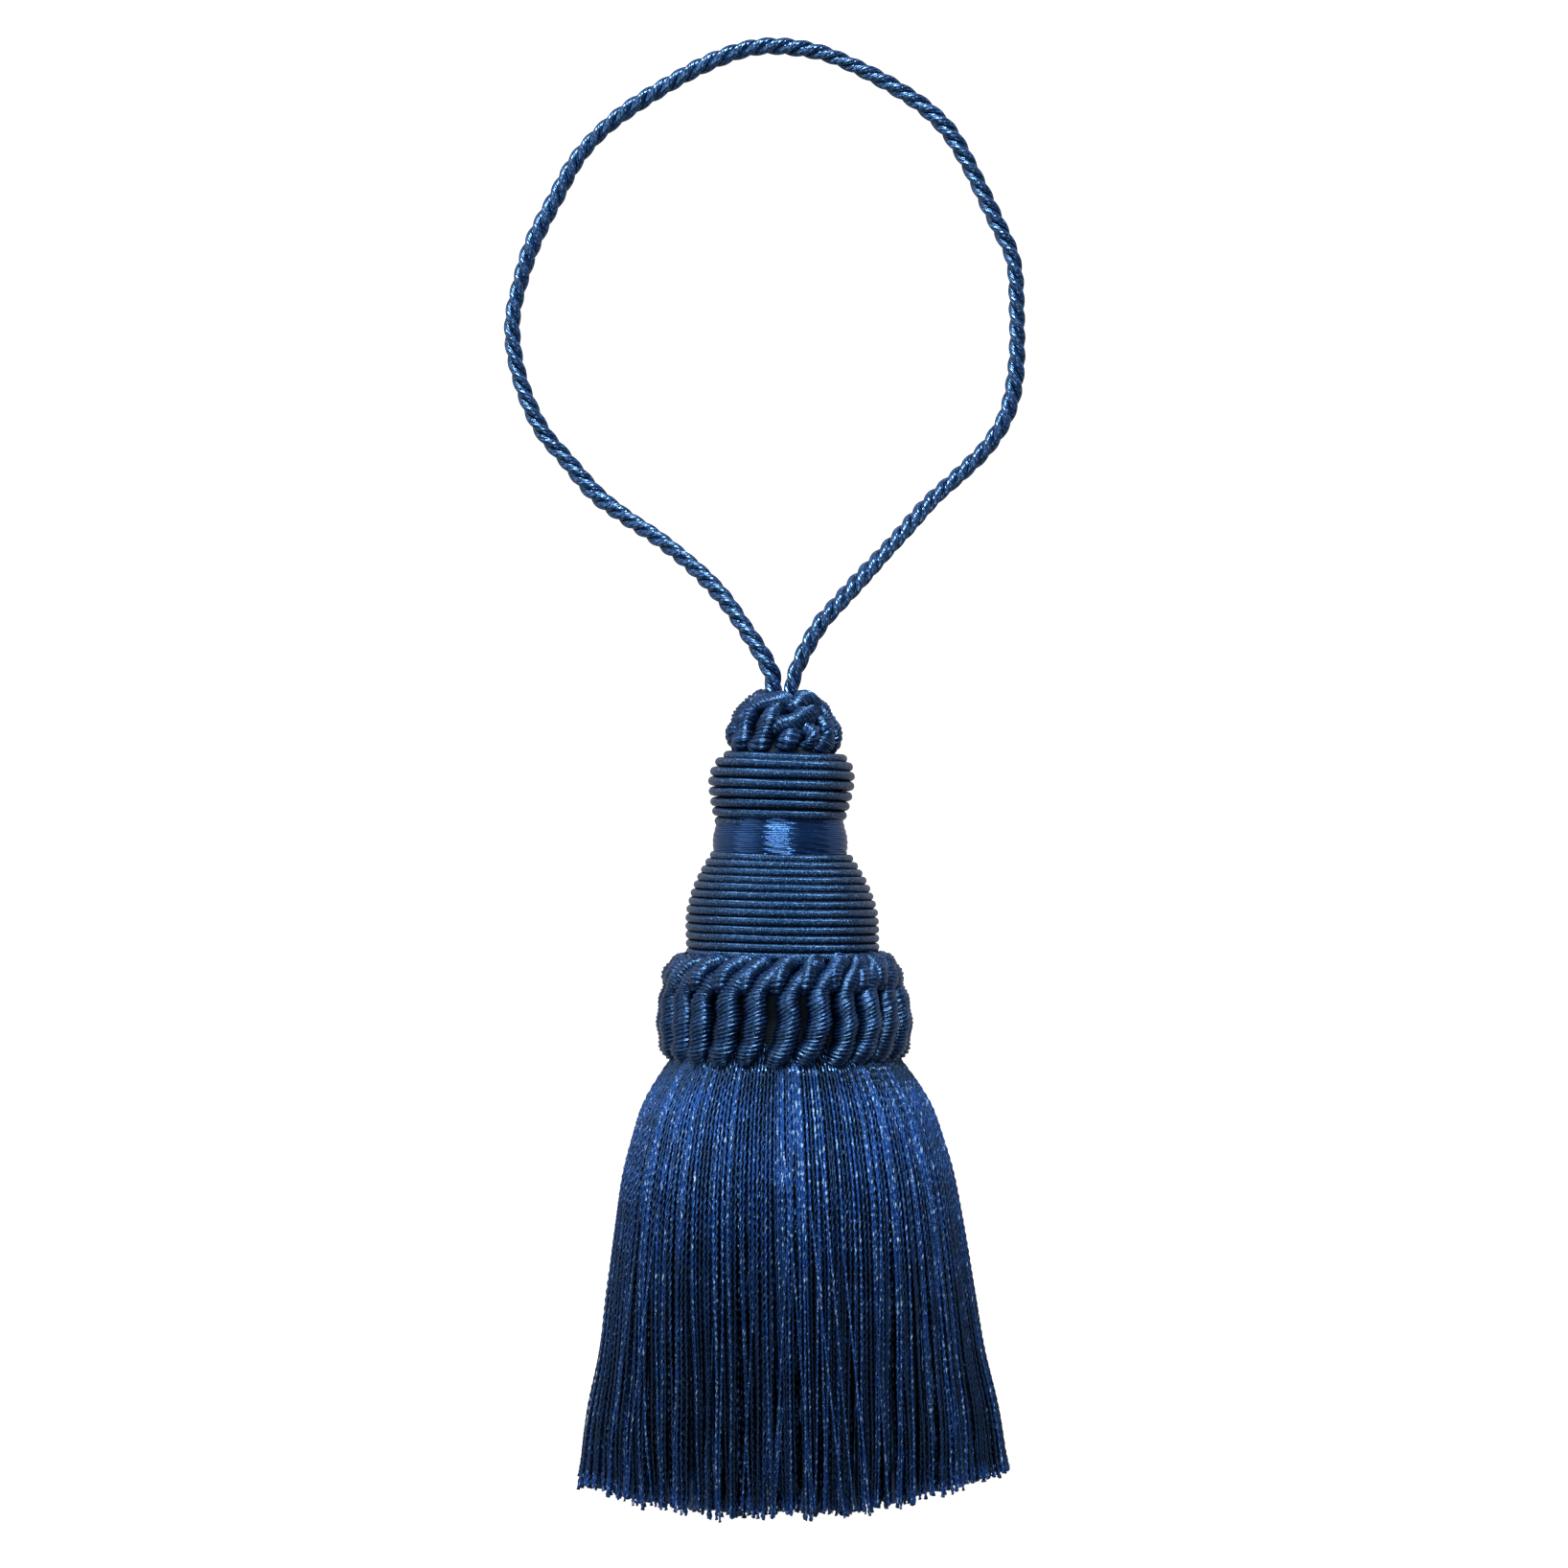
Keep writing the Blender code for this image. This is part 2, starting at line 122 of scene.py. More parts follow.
# shares by which the plies swell and shrink along the loop, and the lengths of 1 radian of these waves
BEAT_SWELL = 0.05
BEAT_LENGTHS = (0.0031, 0.0117)
SLOW_SWELL = 0.04
SLOW_LENGTH = 0.0073
LOOP_TONE = 0.5
# painted shade of a ply's sides
LOOP_SHADED = 0.9  # how much darker a ply is at its sides than at its crest

# ---------------------------------------------------------------- tables of the head

# columns: place along the axis, radius over the thread
UPPER_BINDING = (
    (0.0440, 0.0098),
    (0.0434, 0.0106),
    (0.0425, 0.0116),
    (0.0411, 0.0122),
    (0.0394, 0.0124),
    (0.0376, 0.0122),
    (0.0357, 0.0118),
    (0.0340, 0.0114),
    (0.0324, 0.0109),
)
WAIST = (
    (0.0334, 0.0106),
    (0.0315, 0.0110),
    (0.0303, 0.0113),
    (0.0288, 0.0114),
    (0.0272, 0.0112),
)
LOWER_BINDING = (
    (0.0273, 0.0117),
    (0.0252, 0.0131),
    (0.0232, 0.0142),
    (0.0213, 0.0151),
    (0.0194, 0.0157),
    (0.0165, 0.0163),
    (0.0098, 0.0163),
)
RINGS_A_TURN = 96  # of a wound thread
THREAD_TONE = 0.4
# painted shade of a wound thread's sides
THREAD_SHADED = 1.8  # how much darker a wound thread is at its sides than at its crest
# radians of a thread's slow waves for each radian of its turn: along the axis, and in and out
WAVER_RATES = (1.31, 0.37)
RIPPLE_RATE = 12.7
TAPER_END = 0.25  # share of its thickness that a tapered thread keeps at its end


class Winding(NamedTuple):
    """A thread that is wound round the mould, with its lengths in metres."""

    piece: str
    slot: str
    node: str
    outline: tuple
    turns: str  # the setting that holds how often it goes round
    thread: float  # half of its width
    corners: int
    waver: float  # how far it strays along the axis
    ripple: float = 0.0  # how far it strays in and out
    taper: float = 0.0  # length of its thinning end, in turns


WINDINGS = (
    Winding(
        piece="upper_gimp", slot="gimp", node="upper_binding", outline=UPPER_BINDING, turns="upper_turns",
        thread=0.00080, corners=12, waver=0.00010, taper=0.12,
    ),
    Winding(
        piece="lower_gimp", slot="gimp", node="lower_binding", outline=LOWER_BINDING, turns="lower_turns",
        thread=0.00072, corners=12, waver=0.00006,
    ),
    Winding(
        piece="waist_threads", slot="floss", node="waist_floss", outline=WAIST, turns="floss_turns",
        thread=0.00018, corners=6, waver=0.00003, ripple=0.00005,
    ),
)

# columns: place along the axis, radius
MOULD = (
    (0.0500, 0.0034),
    (0.0485, 0.0056),
    (0.0465, 0.0066),
    (0.0445, 0.0082),
    (0.0415, 0.0104),
    (0.0390, 0.0106),
    (0.0360, 0.0100),
    (0.0326, 0.0096),
    (0.0300, 0.0102),
    (0.0276, 0.0102),
    (0.0235, 0.0127),
    (0.0195, 0.0143),
    (0.0150, 0.0149),
    (0.0095, 0.0150),
    (0.0080, 0.0155),
    (0.0050, 0.0165),
    (0.0000, 0.0168),
    (-0.0040, 0.0166),
    (-0.0060, 0.0158),
)
MOULD_CORNERS = 64

# ---------------------------------------------------------------- tables of the ruffs

# the line that a wrap's middle follows; columns: radius, place along the axis, lean in wraps, cord's radius
COLLAR_PATH = (
    (0.0150, 0.0072, 1.35, 0.0011),
    (0.0160, 0.0088, 1.25, 0.0013),
    (0.0171, 0.0091, 1.08, 0.0015),
    (0.0179, 0.0079, 0.72, 0.0017),
    (0.0186, 0.0062, 0.32, 0.0018),
    (0.0188, 0.0047, 0.08, 0.0019),
    (0.0191, 0.0033, -0.02, 0.0020),
    (0.0193, 0.0015, 0.00, 0.0021),
    (0.0194, -0.0010, -0.02, 0.0022),
    (0.0192, -0.0035, -0.12, 0.0021),
    (0.0189, -0.0053, -0.28, 0.0020),
    (0.0182, -0.0066, -0.42, 0.0016),
)
# short wraps of the same cord that fill in between the others at the collar's top
COLLAR_TOP_PATH = (
    (0.0148, 0.0068, 1.70, 0.0010),
    (0.0158, 0.0090, 1.50, 0.0013),
    (0.0160, 0.0096, 1.28, 0.0014),
    (0.0173, 0.0090, 1.00, 0.0015),
    (0.0187, 0.0076, 0.74, 0.0015),
    (0.0190, 0.0058, 0.58, 0.0014),
    (0.0174, 0.0050, 0.50, 0.0009),
)
CAP_PATH = (
    (0.0024, 0.0500, 1.35, 0.0012),
    (0.0033, 0.0522, 1.20, 0.0014),
    (0.0046, 0.0527, 0.85, 0.0015),
    (0.0061, 0.0517, 0.50, 0.0016),
    (0.0073, 0.0500, 0.30, 0.0017),
    (0.0081, 0.0481, 0.08, 0.0018),
    (0.0083, 0.0465, 0.00, 0.0018),
    (0.0078, 0.0456, -0.12, 0.0016),
    (0.0066, 0.0452, -0.20, 0.0013),
)
# middle of the ring that the wraps go over and under; columns: radius, place along the axis
COLLAR_RING = (0.0150, 0.0018)
COLLAR_TOP_RING = (0.0150, 0.0060)
CAP_RING = (0.0040, 0.0475)
COLLAR_FIRST_TURN = 1.6  # in degrees
CAP_TURNS = (112.0, 146.0, 180.0, 214.0, 248.0)  # of the wraps at the back, in degrees
# outline of the cap; columns: place along the axis, radius
CAP_OUTLINE = (
    (0.0440, 0.0094),
    (0.0455, 0.0101),
    (0.0474, 0.0099),
    (0.0494, 0.0092),
    (0.0513, 0.0077),
    (0.0532, 0.0061),
    (0.0542, 0.0037),
)
# the uneven wraps that show at the cap's front
# columns: across, place along the axis, depth under the outline
CAP_FRONT_WRAPS = (
    ((-0.0080, 0.0449, 0.0020), (-0.0092, 0.0462, 0.0002), (-0.0087, 0.0487, 0.0), (-0.0070, 0.0512, 0.0),
     (-0.0050, 0.0527, 0.0002), (-0.0028, 0.0531, 0.0010), (-0.0012, 0.0520, 0.0030)),
    ((-0.0068, 0.0448, 0.0018), (-0.0069, 0.0462, 0.0001), (-0.0066, 0.0478, 0.0), (-0.0062, 0.0496, 0.0),
     (-0.0051, 0.0513, 0.0), (-0.0034, 0.0523, 0.0), (-0.0015, 0.0527, 0.0001), (0.0004, 0.0527, 0.0012)),
    ((-0.0048, 0.0446, 0.0018), (-0.0040, 0.0458, 0.0002), (-0.0033, 0.0474, 0.0), (-0.0026, 0.0490, 0.0),
     (-0.0020, 0.0504, 0.0002), (-0.0008, 0.0513, 0.0018), (0.0004, 0.0516, 0.0038)),
    ((-0.0006, 0.0446, 0.0018), (0.0003, 0.0457, 0.0001), (0.0010, 0.0468, 0.0001), (0.0014, 0.0480, 0.0012),
     (0.0018, 0.0492, 0.0028)),
    ((-0.0022, 0.0482, 0.0024), (-0.0010, 0.0486, 0.0006), (0.0006, 0.0490, 0.0001), (0.0024, 0.0497, 0.0),
     (0.0040, 0.0504, 0.0003), (0.0052, 0.0507, 0.0016)),
    ((0.0012, 0.0516, 0.0022), (0.0022, 0.0523, 0.0004), (0.0034, 0.0529, 0.0001), (0.0048, 0.0525, 0.0),
     (0.0062, 0.0512, 0.0), (0.0077, 0.0495, 0.0), (0.0087, 0.0478, 0.0), (0.0088, 0.0460, 0.0),
     (0.0078, 0.0449, 0.0016)),
    ((0.0060, 0.0500, 0.0020), (0.0064, 0.0489, 0.0005), (0.0070, 0.0477, 0.0002), (0.0070, 0.0464, 0.0001),
     (0.0058, 0.0452, 0.0004), (0.0044, 0.0448, 0.0016)),
    ((0.0026, 0.0492, 0.0022), (0.0034, 0.0484, 0.0008), (0.0042, 0.0473, 0.0006), (0.0040, 0.0461, 0.0008),
     (0.0028, 0.0451, 0.0014), (0.0016, 0.0447, 0.0022)),
)
CAP_CORD_RADIUS = 0.00178
WIDEST_SINE = 0.99  # of the turn at which a wrap at the cap's front may lie
# share by which a cord swells where it bulges
COLLAR_LUMPS = 0.05
TOP_LUMPS = 0.08  # of the short wraps at the collar's top, and of the cap's back
FRONT_LUMPS = 0.12
CORD_CORNERS = 12
RINGS_A_THREAD = 4  # in the width of the yarn that covers the cord
CREST_POWER = 0.8  # under 1, the covering yarn is broad and the groove beside it narrow
# painted shade in the groove between two turns of the covering yarn
GROOVE_SHADED = 2.4  # how much darker the groove is
# painted shade of a thick cord's sides
CORD_SHADED = 0.81  # how much darker a cord is at its sides than at its crest
# how uneven the wraps are: in their bulges' start, tone, lean, thickness and place along the axis
BULGE_UNEVEN = 0.6
TONE_UNEVEN = 0.4
LEAN_UNEVEN = 0.12
THICK_UNEVEN = 0.05
PLACE_UNEVEN = 0.0003
# a wrap's slow wave: how far it goes sideways, in wraps, and outwards, as a share, its radians over the wrap,
# and the range of its start
SIDE_WANDER = 0.05
RADIUS_WANDER = 0.008
WANDER_RADIANS = 5.0
WANDER_STARTS = 6.3
COLLAR_SEED = 5
CAP_SEED = 8

# ---------------------------------------------------------------- tables of the skirt

# columns: share of a yarn's run, half width, half height of the skirt's section, and its lowest point
SKIRT_SECTIONS = (
    (-0.06, 0.0182, 0.0178, 0.0027),
    (-0.02, 0.0195, 0.0189, 0.0016),
    (0.00, 0.0205, 0.0198, 0.0005),
    (0.05, 0.0229, 0.0201, 0.0),
    (0.10, 0.0248, 0.0203, 0.0),
    (0.17, 0.0264, 0.0207, 0.0),
    (0.26, 0.0281, 0.0209, 0.0),
    (0.40, 0.0298, 0.0198, 0.0),
    (0.55, 0.0314, 0.0175, 0.0),
    (0.70, 0.0331, 0.0147, 0.0),
    (0.85, 0.0355, 0.0118, 0.0),
    (1.00, 0.0370, 0.0090, 0.0),
)
HEADING_FOOT = -0.0086  # place along the axis where a yarn's run begins
TIP_MIDDLE = -0.0848  # place of the cut ends in the skirt's middle
TIP_RISE = 0.0053  # how much sooner the yarns end at the skirt's two sides
TIP_TILT = 0.0013  # how much sooner at the right, and later at the left
TIP_HALF_WIDTH = 0.0369  # of the skirt at its cut ends
SKIRT_START = 0.0003  # shift of the heading to the right
SKIRT_DRIFT = 0.0013  # how much further the cut ends are shifted
SIDE_SINK = 0.45  # share of their height that the skirt's sides lose by the cut ends


class Row(NamedTuple):
    """How a row of yarns hangs: lengths are in metres, and stray and cross are in gaps between two yarns."""

    gather: float = 0.0  # pull into locks
    stray: float = 0.5  # slow waves sideways
    cross: float = 0.0  # drift sideways
    reach: float = 0.0  # how far it comes out over its own depth
    # painted light and shade of the whole row
    tone: float = 0.0
    girth: float = 1.0  # thickness in yarns
    short: float = 0.0  # how much sooner it is cut off


# strays get painted light, and the second row and the core painted shade, through their tone
OUTER_ROW = Row(gather=1.0, cross=0.9)
STRAY_ROW = Row(stray=0.8, cross=9.0, reach=0.0010, tone=2.2, girth=0.85)
SECOND_ROW = Row(gather=0.3, cross=0.5, reach=-0.0012, tone=-1.2, girth=1.3, short=0.0003)
CORE_ROW = Row(stray=0.3, reach=-0.0006, tone=-1.0, girth=3.2, short=0.0010)
SECOND_DEPTH = 0.0008
SECOND_YARNS = 180
# columns: depth under the outer row, yarns
CORE_ROWS = (
    (0.0016, 120),
    (0.0030, 100),
    (0.0044, 80),
    (0.0058, 60),
    (0.0070, 44),
)
FRONT_PIECES = 4  # that the front of the outer row is shared between
STRAY_SHARES = (0.08, 0.42)  # of the way round, between which the strays begin
# columns: rings in a lay, corners of a ring
FRONT_DETAIL = (8, 8)
STRAY_DETAIL = (6, 8)
BACK_DETAIL = (2, 6)
SECOND_BACK_DETAIL = (1, 6)
CORE_DETAIL = (0.4, 4)

LOCKS = 52
# random spreads over the locks; columns: seed, lowest, highest
LOCK_MIDDLES = (4, -0.3, 0.3)  # in locks
LOCK_LEVELS = (9, -1.0, 0.5)  # in LOCK_DEPTH
LOCK_ENDS = (6, -0.0005, 0.0005)  # how much sooner a lock is cut off
LOCK_DEPTH = 0.0011  # how deep the most sunk lock lies at the cut ends
GATHERED = 0.5  # share of the way to its lock's middle that a yarn has gone at its cut end
SIDE_CALM = 0.85  # share of its straying that a yarn at the skirt's sides doesn't do
CALM_POWER = 6  # the higher, the narrower the calm sides are
STRAY_POWER = 1.3  # over 1, what grows along the run grows late
SINK_POWER = 1.4
DRIFT_STARTS = 0.7  # share of the run by which all the yarns have begun to drift
LIFT_START = 0.00005  # how unevenly deep the yarns lie at the heading
LIFT_GROWN = 0.0003  # and how much more at their cut ends
ENDS_UNEVEN = 0.0007  # by which a yarn ends sooner or later than its lock
LAY_UNEVEN = 0.1  # share by which a yarn's lay differs
FRAYED_FROM = 0.95  # share of the run after which a yarn frays
FRAYED_LIFT = 0.0004  # how far the highest frayed end comes out
FRAYED_SWELL = 0.3  # share by which a frayed end is thicker
WAVES = 3  # added up in a slow uneven wave
WAVE_RADIANS = 2.2  # of the slowest, over the run
WAVE_STEP = 3.1  # more for each one after it
WAVE_SHARE = 1.8  # that their sum is divided by
PLY_DIP = 0.55  # least radius of a yarn's section, as a share, in the hollow between its two plies

# tones of the yarns, random and with their painted light and shade
YARN_TONE = 1.4  # where a ply faces outwards, before what follows
# painted light and shade: at the cut ends most yarns are painted as shaded and a few as lit
DARKEST_SHADED_YARN = -1.8  # at the cut ends
LIGHTEST_LIT_YARN = 5.5  # over the darkest
LIT_YARN_POWER = 4  # the higher, the fewer yarns are light
HEADING_UNEVEN = 0.7  # at the heading, where no yarn is much lighter than the rest
# painted highlight of the frayed ends, which catch the light
FRAYED_HIGHLIGHT = 1.6  # how much lighter a frayed end is
# painted shadow that the collar casts on the top of the skirt
COLLAR_SHADOW = 3.2  # how much darker the yarns are under the collar
SHADOW_MIDDLE = -0.06  # share of the run where the collar's shadow is darkest
SHADOW_WIDTH = 0.07
# painted shade of sunk locks, and painted light of locks that stand out
LOCK_LIGHT_AND_SHADE = 1.2  # between a level lock and the most sunk one
# painted shade in the dips between a yarn's two plies and at its sides
DIP_SHADED = 4.6  # how much darker a dip as deep as the yarn's radius would be
SIDE_SHADED = 1.2  # how much darker a yarn is at its sides than where it faces outwards
FRAYED_RELIEF = 0.6  # share of both shades that a frayed end loses

# ---------------------------------------------------------------- tables of the finishes and the stage


class Finish(NamedTuple):
    """How a kind of yarn takes the light, and how its fibres are spun."""

    roughness: float
    ior: float
    tint: tuple  # of the shine
    ridges: float  # height of the fibres, in millimetres
    fibres: dict  # inputs of the group of spun fibres
    # the glints are painted highlights, mixed into the base colour
    glint: tuple = ()  # colour of the small glints, left out where the light dye serves
    stretch: float = 0.0  # how far the shine spreads across the fibres, which run along the yarn
    gloss: float = 1.0


FINISHES = {
    "loop_cord": Finish(
        roughness=0.18, ior=1.68, tint=(0.25, 0.55, 1.0), ridges=0.08, stretch=0.3, glint=(0.06, 0.16, 0.36),
        fibres={"Around": 7.0, "Along": 0.35, "Mottle": 900.0, "Fleck": 2600.0, "Rarity": 0.57},
    ),
    "ruff_cord": Finish(
        roughness=0.25, ior=1.65, tint=(0.20, 0.48, 1.0), ridges=0.05, glint=(0.04, 0.11, 0.36),
        fibres={
            "Around": 1.0, "Along": 5.7, "Unevenness": 1.2, "Mottle": 700.0, "Fleck": 3200.0, "Across": 0.5,
            "Rarity": 0.54,
        },
    ),
    "gimp": Finish(
        roughness=0.22, ior=1.52, tint=(0.16, 0.46, 1.0), ridges=0.06, glint=(0.10, 0.21, 0.40),
        fibres={
            "Around": 5.0, "Along": 3.1, "Unevenness": 0.6, "Mottle": 1800.0, "Fleck": 4200.0, "Rarity": 0.56,
        },
    ),
    "floss": Finish(
        roughness=0.2, ior=1.85, tint=(0.15, 0.41, 1.0), ridges=0.008, stretch=0.8, glint=(0.01, 0.034, 0.12),
        fibres={
            "Around": 5.0, "Along": 0.1, "Unevenness": 1.0, "Mottle": 500.0, "Across": 0.2, "Rarity": 0.56,
        },
    ),
    "skirt_yarn": Finish(
        roughness=0.20, ior=1.7, tint=(0.18, 0.44, 1.0), ridges=0.02, glint=(0.42, 0.68, 1.0),
        fibres={
            "Around": 6.0, "Along": 0.4, "Unevenness": 1.0, "Mottle": 260.0, "Fleck": 3000.0, "Down": 0.30,
            "Rarity": 0.565, "Lit": 2.2,
        },
    ),
    "mould": Finish(
        roughness=0.9, ior=1.5, tint=(1.0, 1.0, 1.0), ridges=0.05, gloss=0.1,
        fibres={"Around": 0.0, "Along": 2.0},
    ),
}
TONE_STEP = 0.4  # of the way from the dark dye to the light one, for a tone of 1
MOTTLE_SPREAD = 1.4  # of the same way, between the noise's lowest and highest value
MOTTLE_SHIFT = -0.2
MOTTLE_DETAIL = 2.0
# painted glints
GLINT_EDGE = 0.1  # of the noise, over which a glint fades in

SENSOR_WIDTH = 36.0  # of the camera, in millimetres
NEAREST = 0.01  # that the camera sees
KEY_DISTANCE = 1.1  # of the main light from the floor under the camera
FLOOR_HALF = 4.0
FLOOR_TOP = -0.0001  # a hair under the tassel
FLOOR_GREY = (0.25, 0.25, 0.25, 1.0)
FLOOR_ROUGHNESS = 0.9
FLOOR_GLOW = 0.06  # of the floor where only light sees it
SURROUNDINGS = 0.11  # strength of the white surroundings where only light sees them


# ---------------------------------------------------------------- curves and meshes


def unit(vectors):
    """Vectors divided by their lengths."""
    return vectors / np.maximum(np.linalg.norm(vectors, axis=-1, keepdims=True), 1e-12)


def smooth_rows(rows):
    """Catmull-Rom curve through a table's rows, in every column.

    Between rows b and c, with a before and d after them, at share t of the way, the value is half of
    2b + (c - a)t + (2a - 5b + 4c - d)t^2 + (3b - a - 3c + d)t^3.
    """
    rows = np.asarray(rows, float)
    padded = np.vstack([2 * rows[0] - rows[1], rows, 2 * rows[-1] - rows[-2]])
    a, b, c, d = (padded[i : len(padded) - 3 + i, None] for i in range(4))
    t = (np.arange(ROUTE_SAMPLES) / ROUTE_SAMPLES)[None, :, None]
    curve = 2 * b + (c - a) * t + (2 * a - 5 * b + 4 * c - d) * t**2 + (3 * b - a - 3 * c + d) * t**3
    return np.vstack([curve.reshape(-1, rows.shape[1]) / 2, rows[-1:]])


def even_rows(curve, lengths, spacing):
    """Rows of a curve at even steps of the given running length, with those lengths."""
    places = np.linspace(lengths[0], lengths[-1], round((lengths[-1] - lengths[0]) / spacing) + 1)
    return np.stack([np.interp(places, lengths, column) for column in curve.T], axis=1), places


def running_length(points):
    """Length from the first point to each of the points, summed over their straight steps."""
    steps = np.linalg.norm(np.diff(points, axis=-2), axis=-1)
    return np.concatenate([np.zeros_like(steps[..., :1]), np.cumsum(steps, axis=-1)], axis=-1)


def even_angles(count):
    """Angles from 0, evenly once round."""
    return np.arange(count) * TURN / count


def on_axis(turn, radius, place):
    """Points at a turn from the front, a distance from the axis and a place along it, with the head's lean.

    A point lies at (lean + radius * sin of the turn, place, AXIS_HEIGHT + radius * cos of the turn).
    """
    lean = np.interp(place, *np.array(HEAD_LEAN).T)
    across = lean + radius * np.sin(turn)
    height = AXIS_HEIGHT + radius * np.cos(turn)
    return np.stack(np.broadcast_arrays(across, place, height), axis=-1)


def carry(centres, hint, section):
    """A section carried along lines: centre + side * across + outward * up + direction * along.

    The direction is the line's own, outward is the hint made square to it, and side is outward x direction.
    centres end in (rings, 3), and section in (rings, corners, 3) or (corners, 3).
    """
    direction = unit(np.gradient(centres, axis=-2))
    outward = unit(hint - (hint * direction).sum(-1, keepdims=True) * direction)
    side = np.cross(outward, direction)
    axes = np.stack([side, outward, direction], axis=-2)
    return centres[..., None, :] + section @ axes


def round_section(corners, radius, turn=0.0):
    """Across and up of a round section's corners: radius * cos and sin of even angles, plus the turn."""
    angle = even_angles(corners) + np.asarray(turn)[..., None]
    radius = np.asarray(radius)[..., None]
    across, up = radius * np.cos(angle), radius * np.sin(angle)
    return np.stack([across, up, np.zeros_like(across)], axis=-1)


def painted_crest_shade(corners, shaded):
    """Painted shade of a round section's corners: -shaded * (1 - sin of the angle), which is 0 at its crest.
    """
    return -shaded * (1 - np.sin(even_angles(corners)))


def tube_mesh(name, points, lengths, tone):
    """A mesh of closed tubes from points of shape (tubes, rings, corners, 3), with none under the floor.

    Corner k of a ring is joined to corner k + 1 and to the next ring by four-sided faces, and both ends have
    one face. The map holds the share of the way round and the length in millimetres. lengths has a value for
    each tube and ring, and tone for each tube, ring and corner, or fewer that are spread over them.
    """
    tubes, rings, corners = points.shape[:3]
    index = np.arange(tubes * rings * corners).reshape(tubes, rings, corners)
    onward = np.roll(index, -1, axis=2)
    quads = np.stack([index[:, :-1], onward[:, :-1], onward[:, 1:], index[:, 1:]], axis=-1).reshape(-1, 4)
    caps = np.concatenate([index[:, 0, ::-1], index[:, -1]])

    lengths = np.broadcast_to(lengths, (tubes, rings)) / MM
    around = np.arange(corners) / corners
    sides = (tubes, rings - 1, corners)
    near = np.broadcast_to(lengths[:, :-1, None], sides)
    far = np.broadcast_to(lengths[:, 1:, None], sides)
    this = np.broadcast_to(around, sides)
    after = this + 1 / corners
    quad_map = np.stack([this, near, after, near, after, far, this, far], axis=-1)
    ends = np.concatenate([lengths[:, :1], lengths[:, -1:]])
    cap_map = np.stack(np.broadcast_arrays(around[None], ends), axis=-1)

    points = points.astype(np.float32)
    points[..., 2] = np.maximum(points[..., 2], 0.0)
    mesh = bpy.data.meshes.new(name)
    mesh.vertices.add(index.size)
    mesh.vertices.foreach_set("co", points.ravel())
    mesh.loops.add(quads.size + caps.size)
    mesh.loops.foreach_set("vertex_index", np.concatenate([quads.ravel(), caps.ravel()]))
    mesh.polygons.add(len(quads) + len(caps))
    starts = np.concatenate([np.arange(len(quads)) * 4, quads.size + np.arange(len(caps)) * corners])
    mesh.polygons.foreach_set("loop_start", starts)
    mesh.polygons.foreach_set("use_smooth", np.arange(len(starts)) < len(quads))
    layer = mesh.uv_layers.new(name="yarn")
    layer.uv.foreach_set("vector", np.concatenate([quad_map.ravel(), cap_map.ravel()]).astype(np.float32))
    shade = mesh.attributes.new("tone", "FLOAT", "POINT")
    tone = np.broadcast_to(np.asarray(tone, np.float32), (tubes, rings, corners))
    shade.data.foreach_set("value", tone.ravel())
    mesh.update(calc_edges=True)
    return mesh


def add_object(name, data):
    """Adds an object to the scene."""
    added = bpy.data.objects.new(name, data)
    bpy.context.scene.collection.objects.link(added)
    return added


def add_piece(name, mesh, material, slot, *nodes):
    """Adds a mesh to the scene as a piece that rides on the tassel and stands for the nodes."""
    piece = add_object(name, mesh)
    mesh.materials.append(material)
    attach(piece, "root")
    if nodes:
        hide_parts(*nodes)
    return piece


# ---------------------------------------------------------------- materials


def set_inputs(node, inputs):
    """Gives a node's inputs their values, or links them to the outputs of other nodes."""
    for socket, value in inputs.items():
        if isinstance(value, bpy.types.NodeSocket):
            node.id_data.links.new(value, node.inputs[socket])
        else:
            node.inputs[socket].default_value = value


def add_node(tree, kind, inputs=None, **settings):
    """Adds a node with its settings and inputs."""
    node = tree.nodes.new(kind)
    for name, value in settings.items():
        setattr(node, name, value)
    set_inputs(node, inputs or {})
    return node


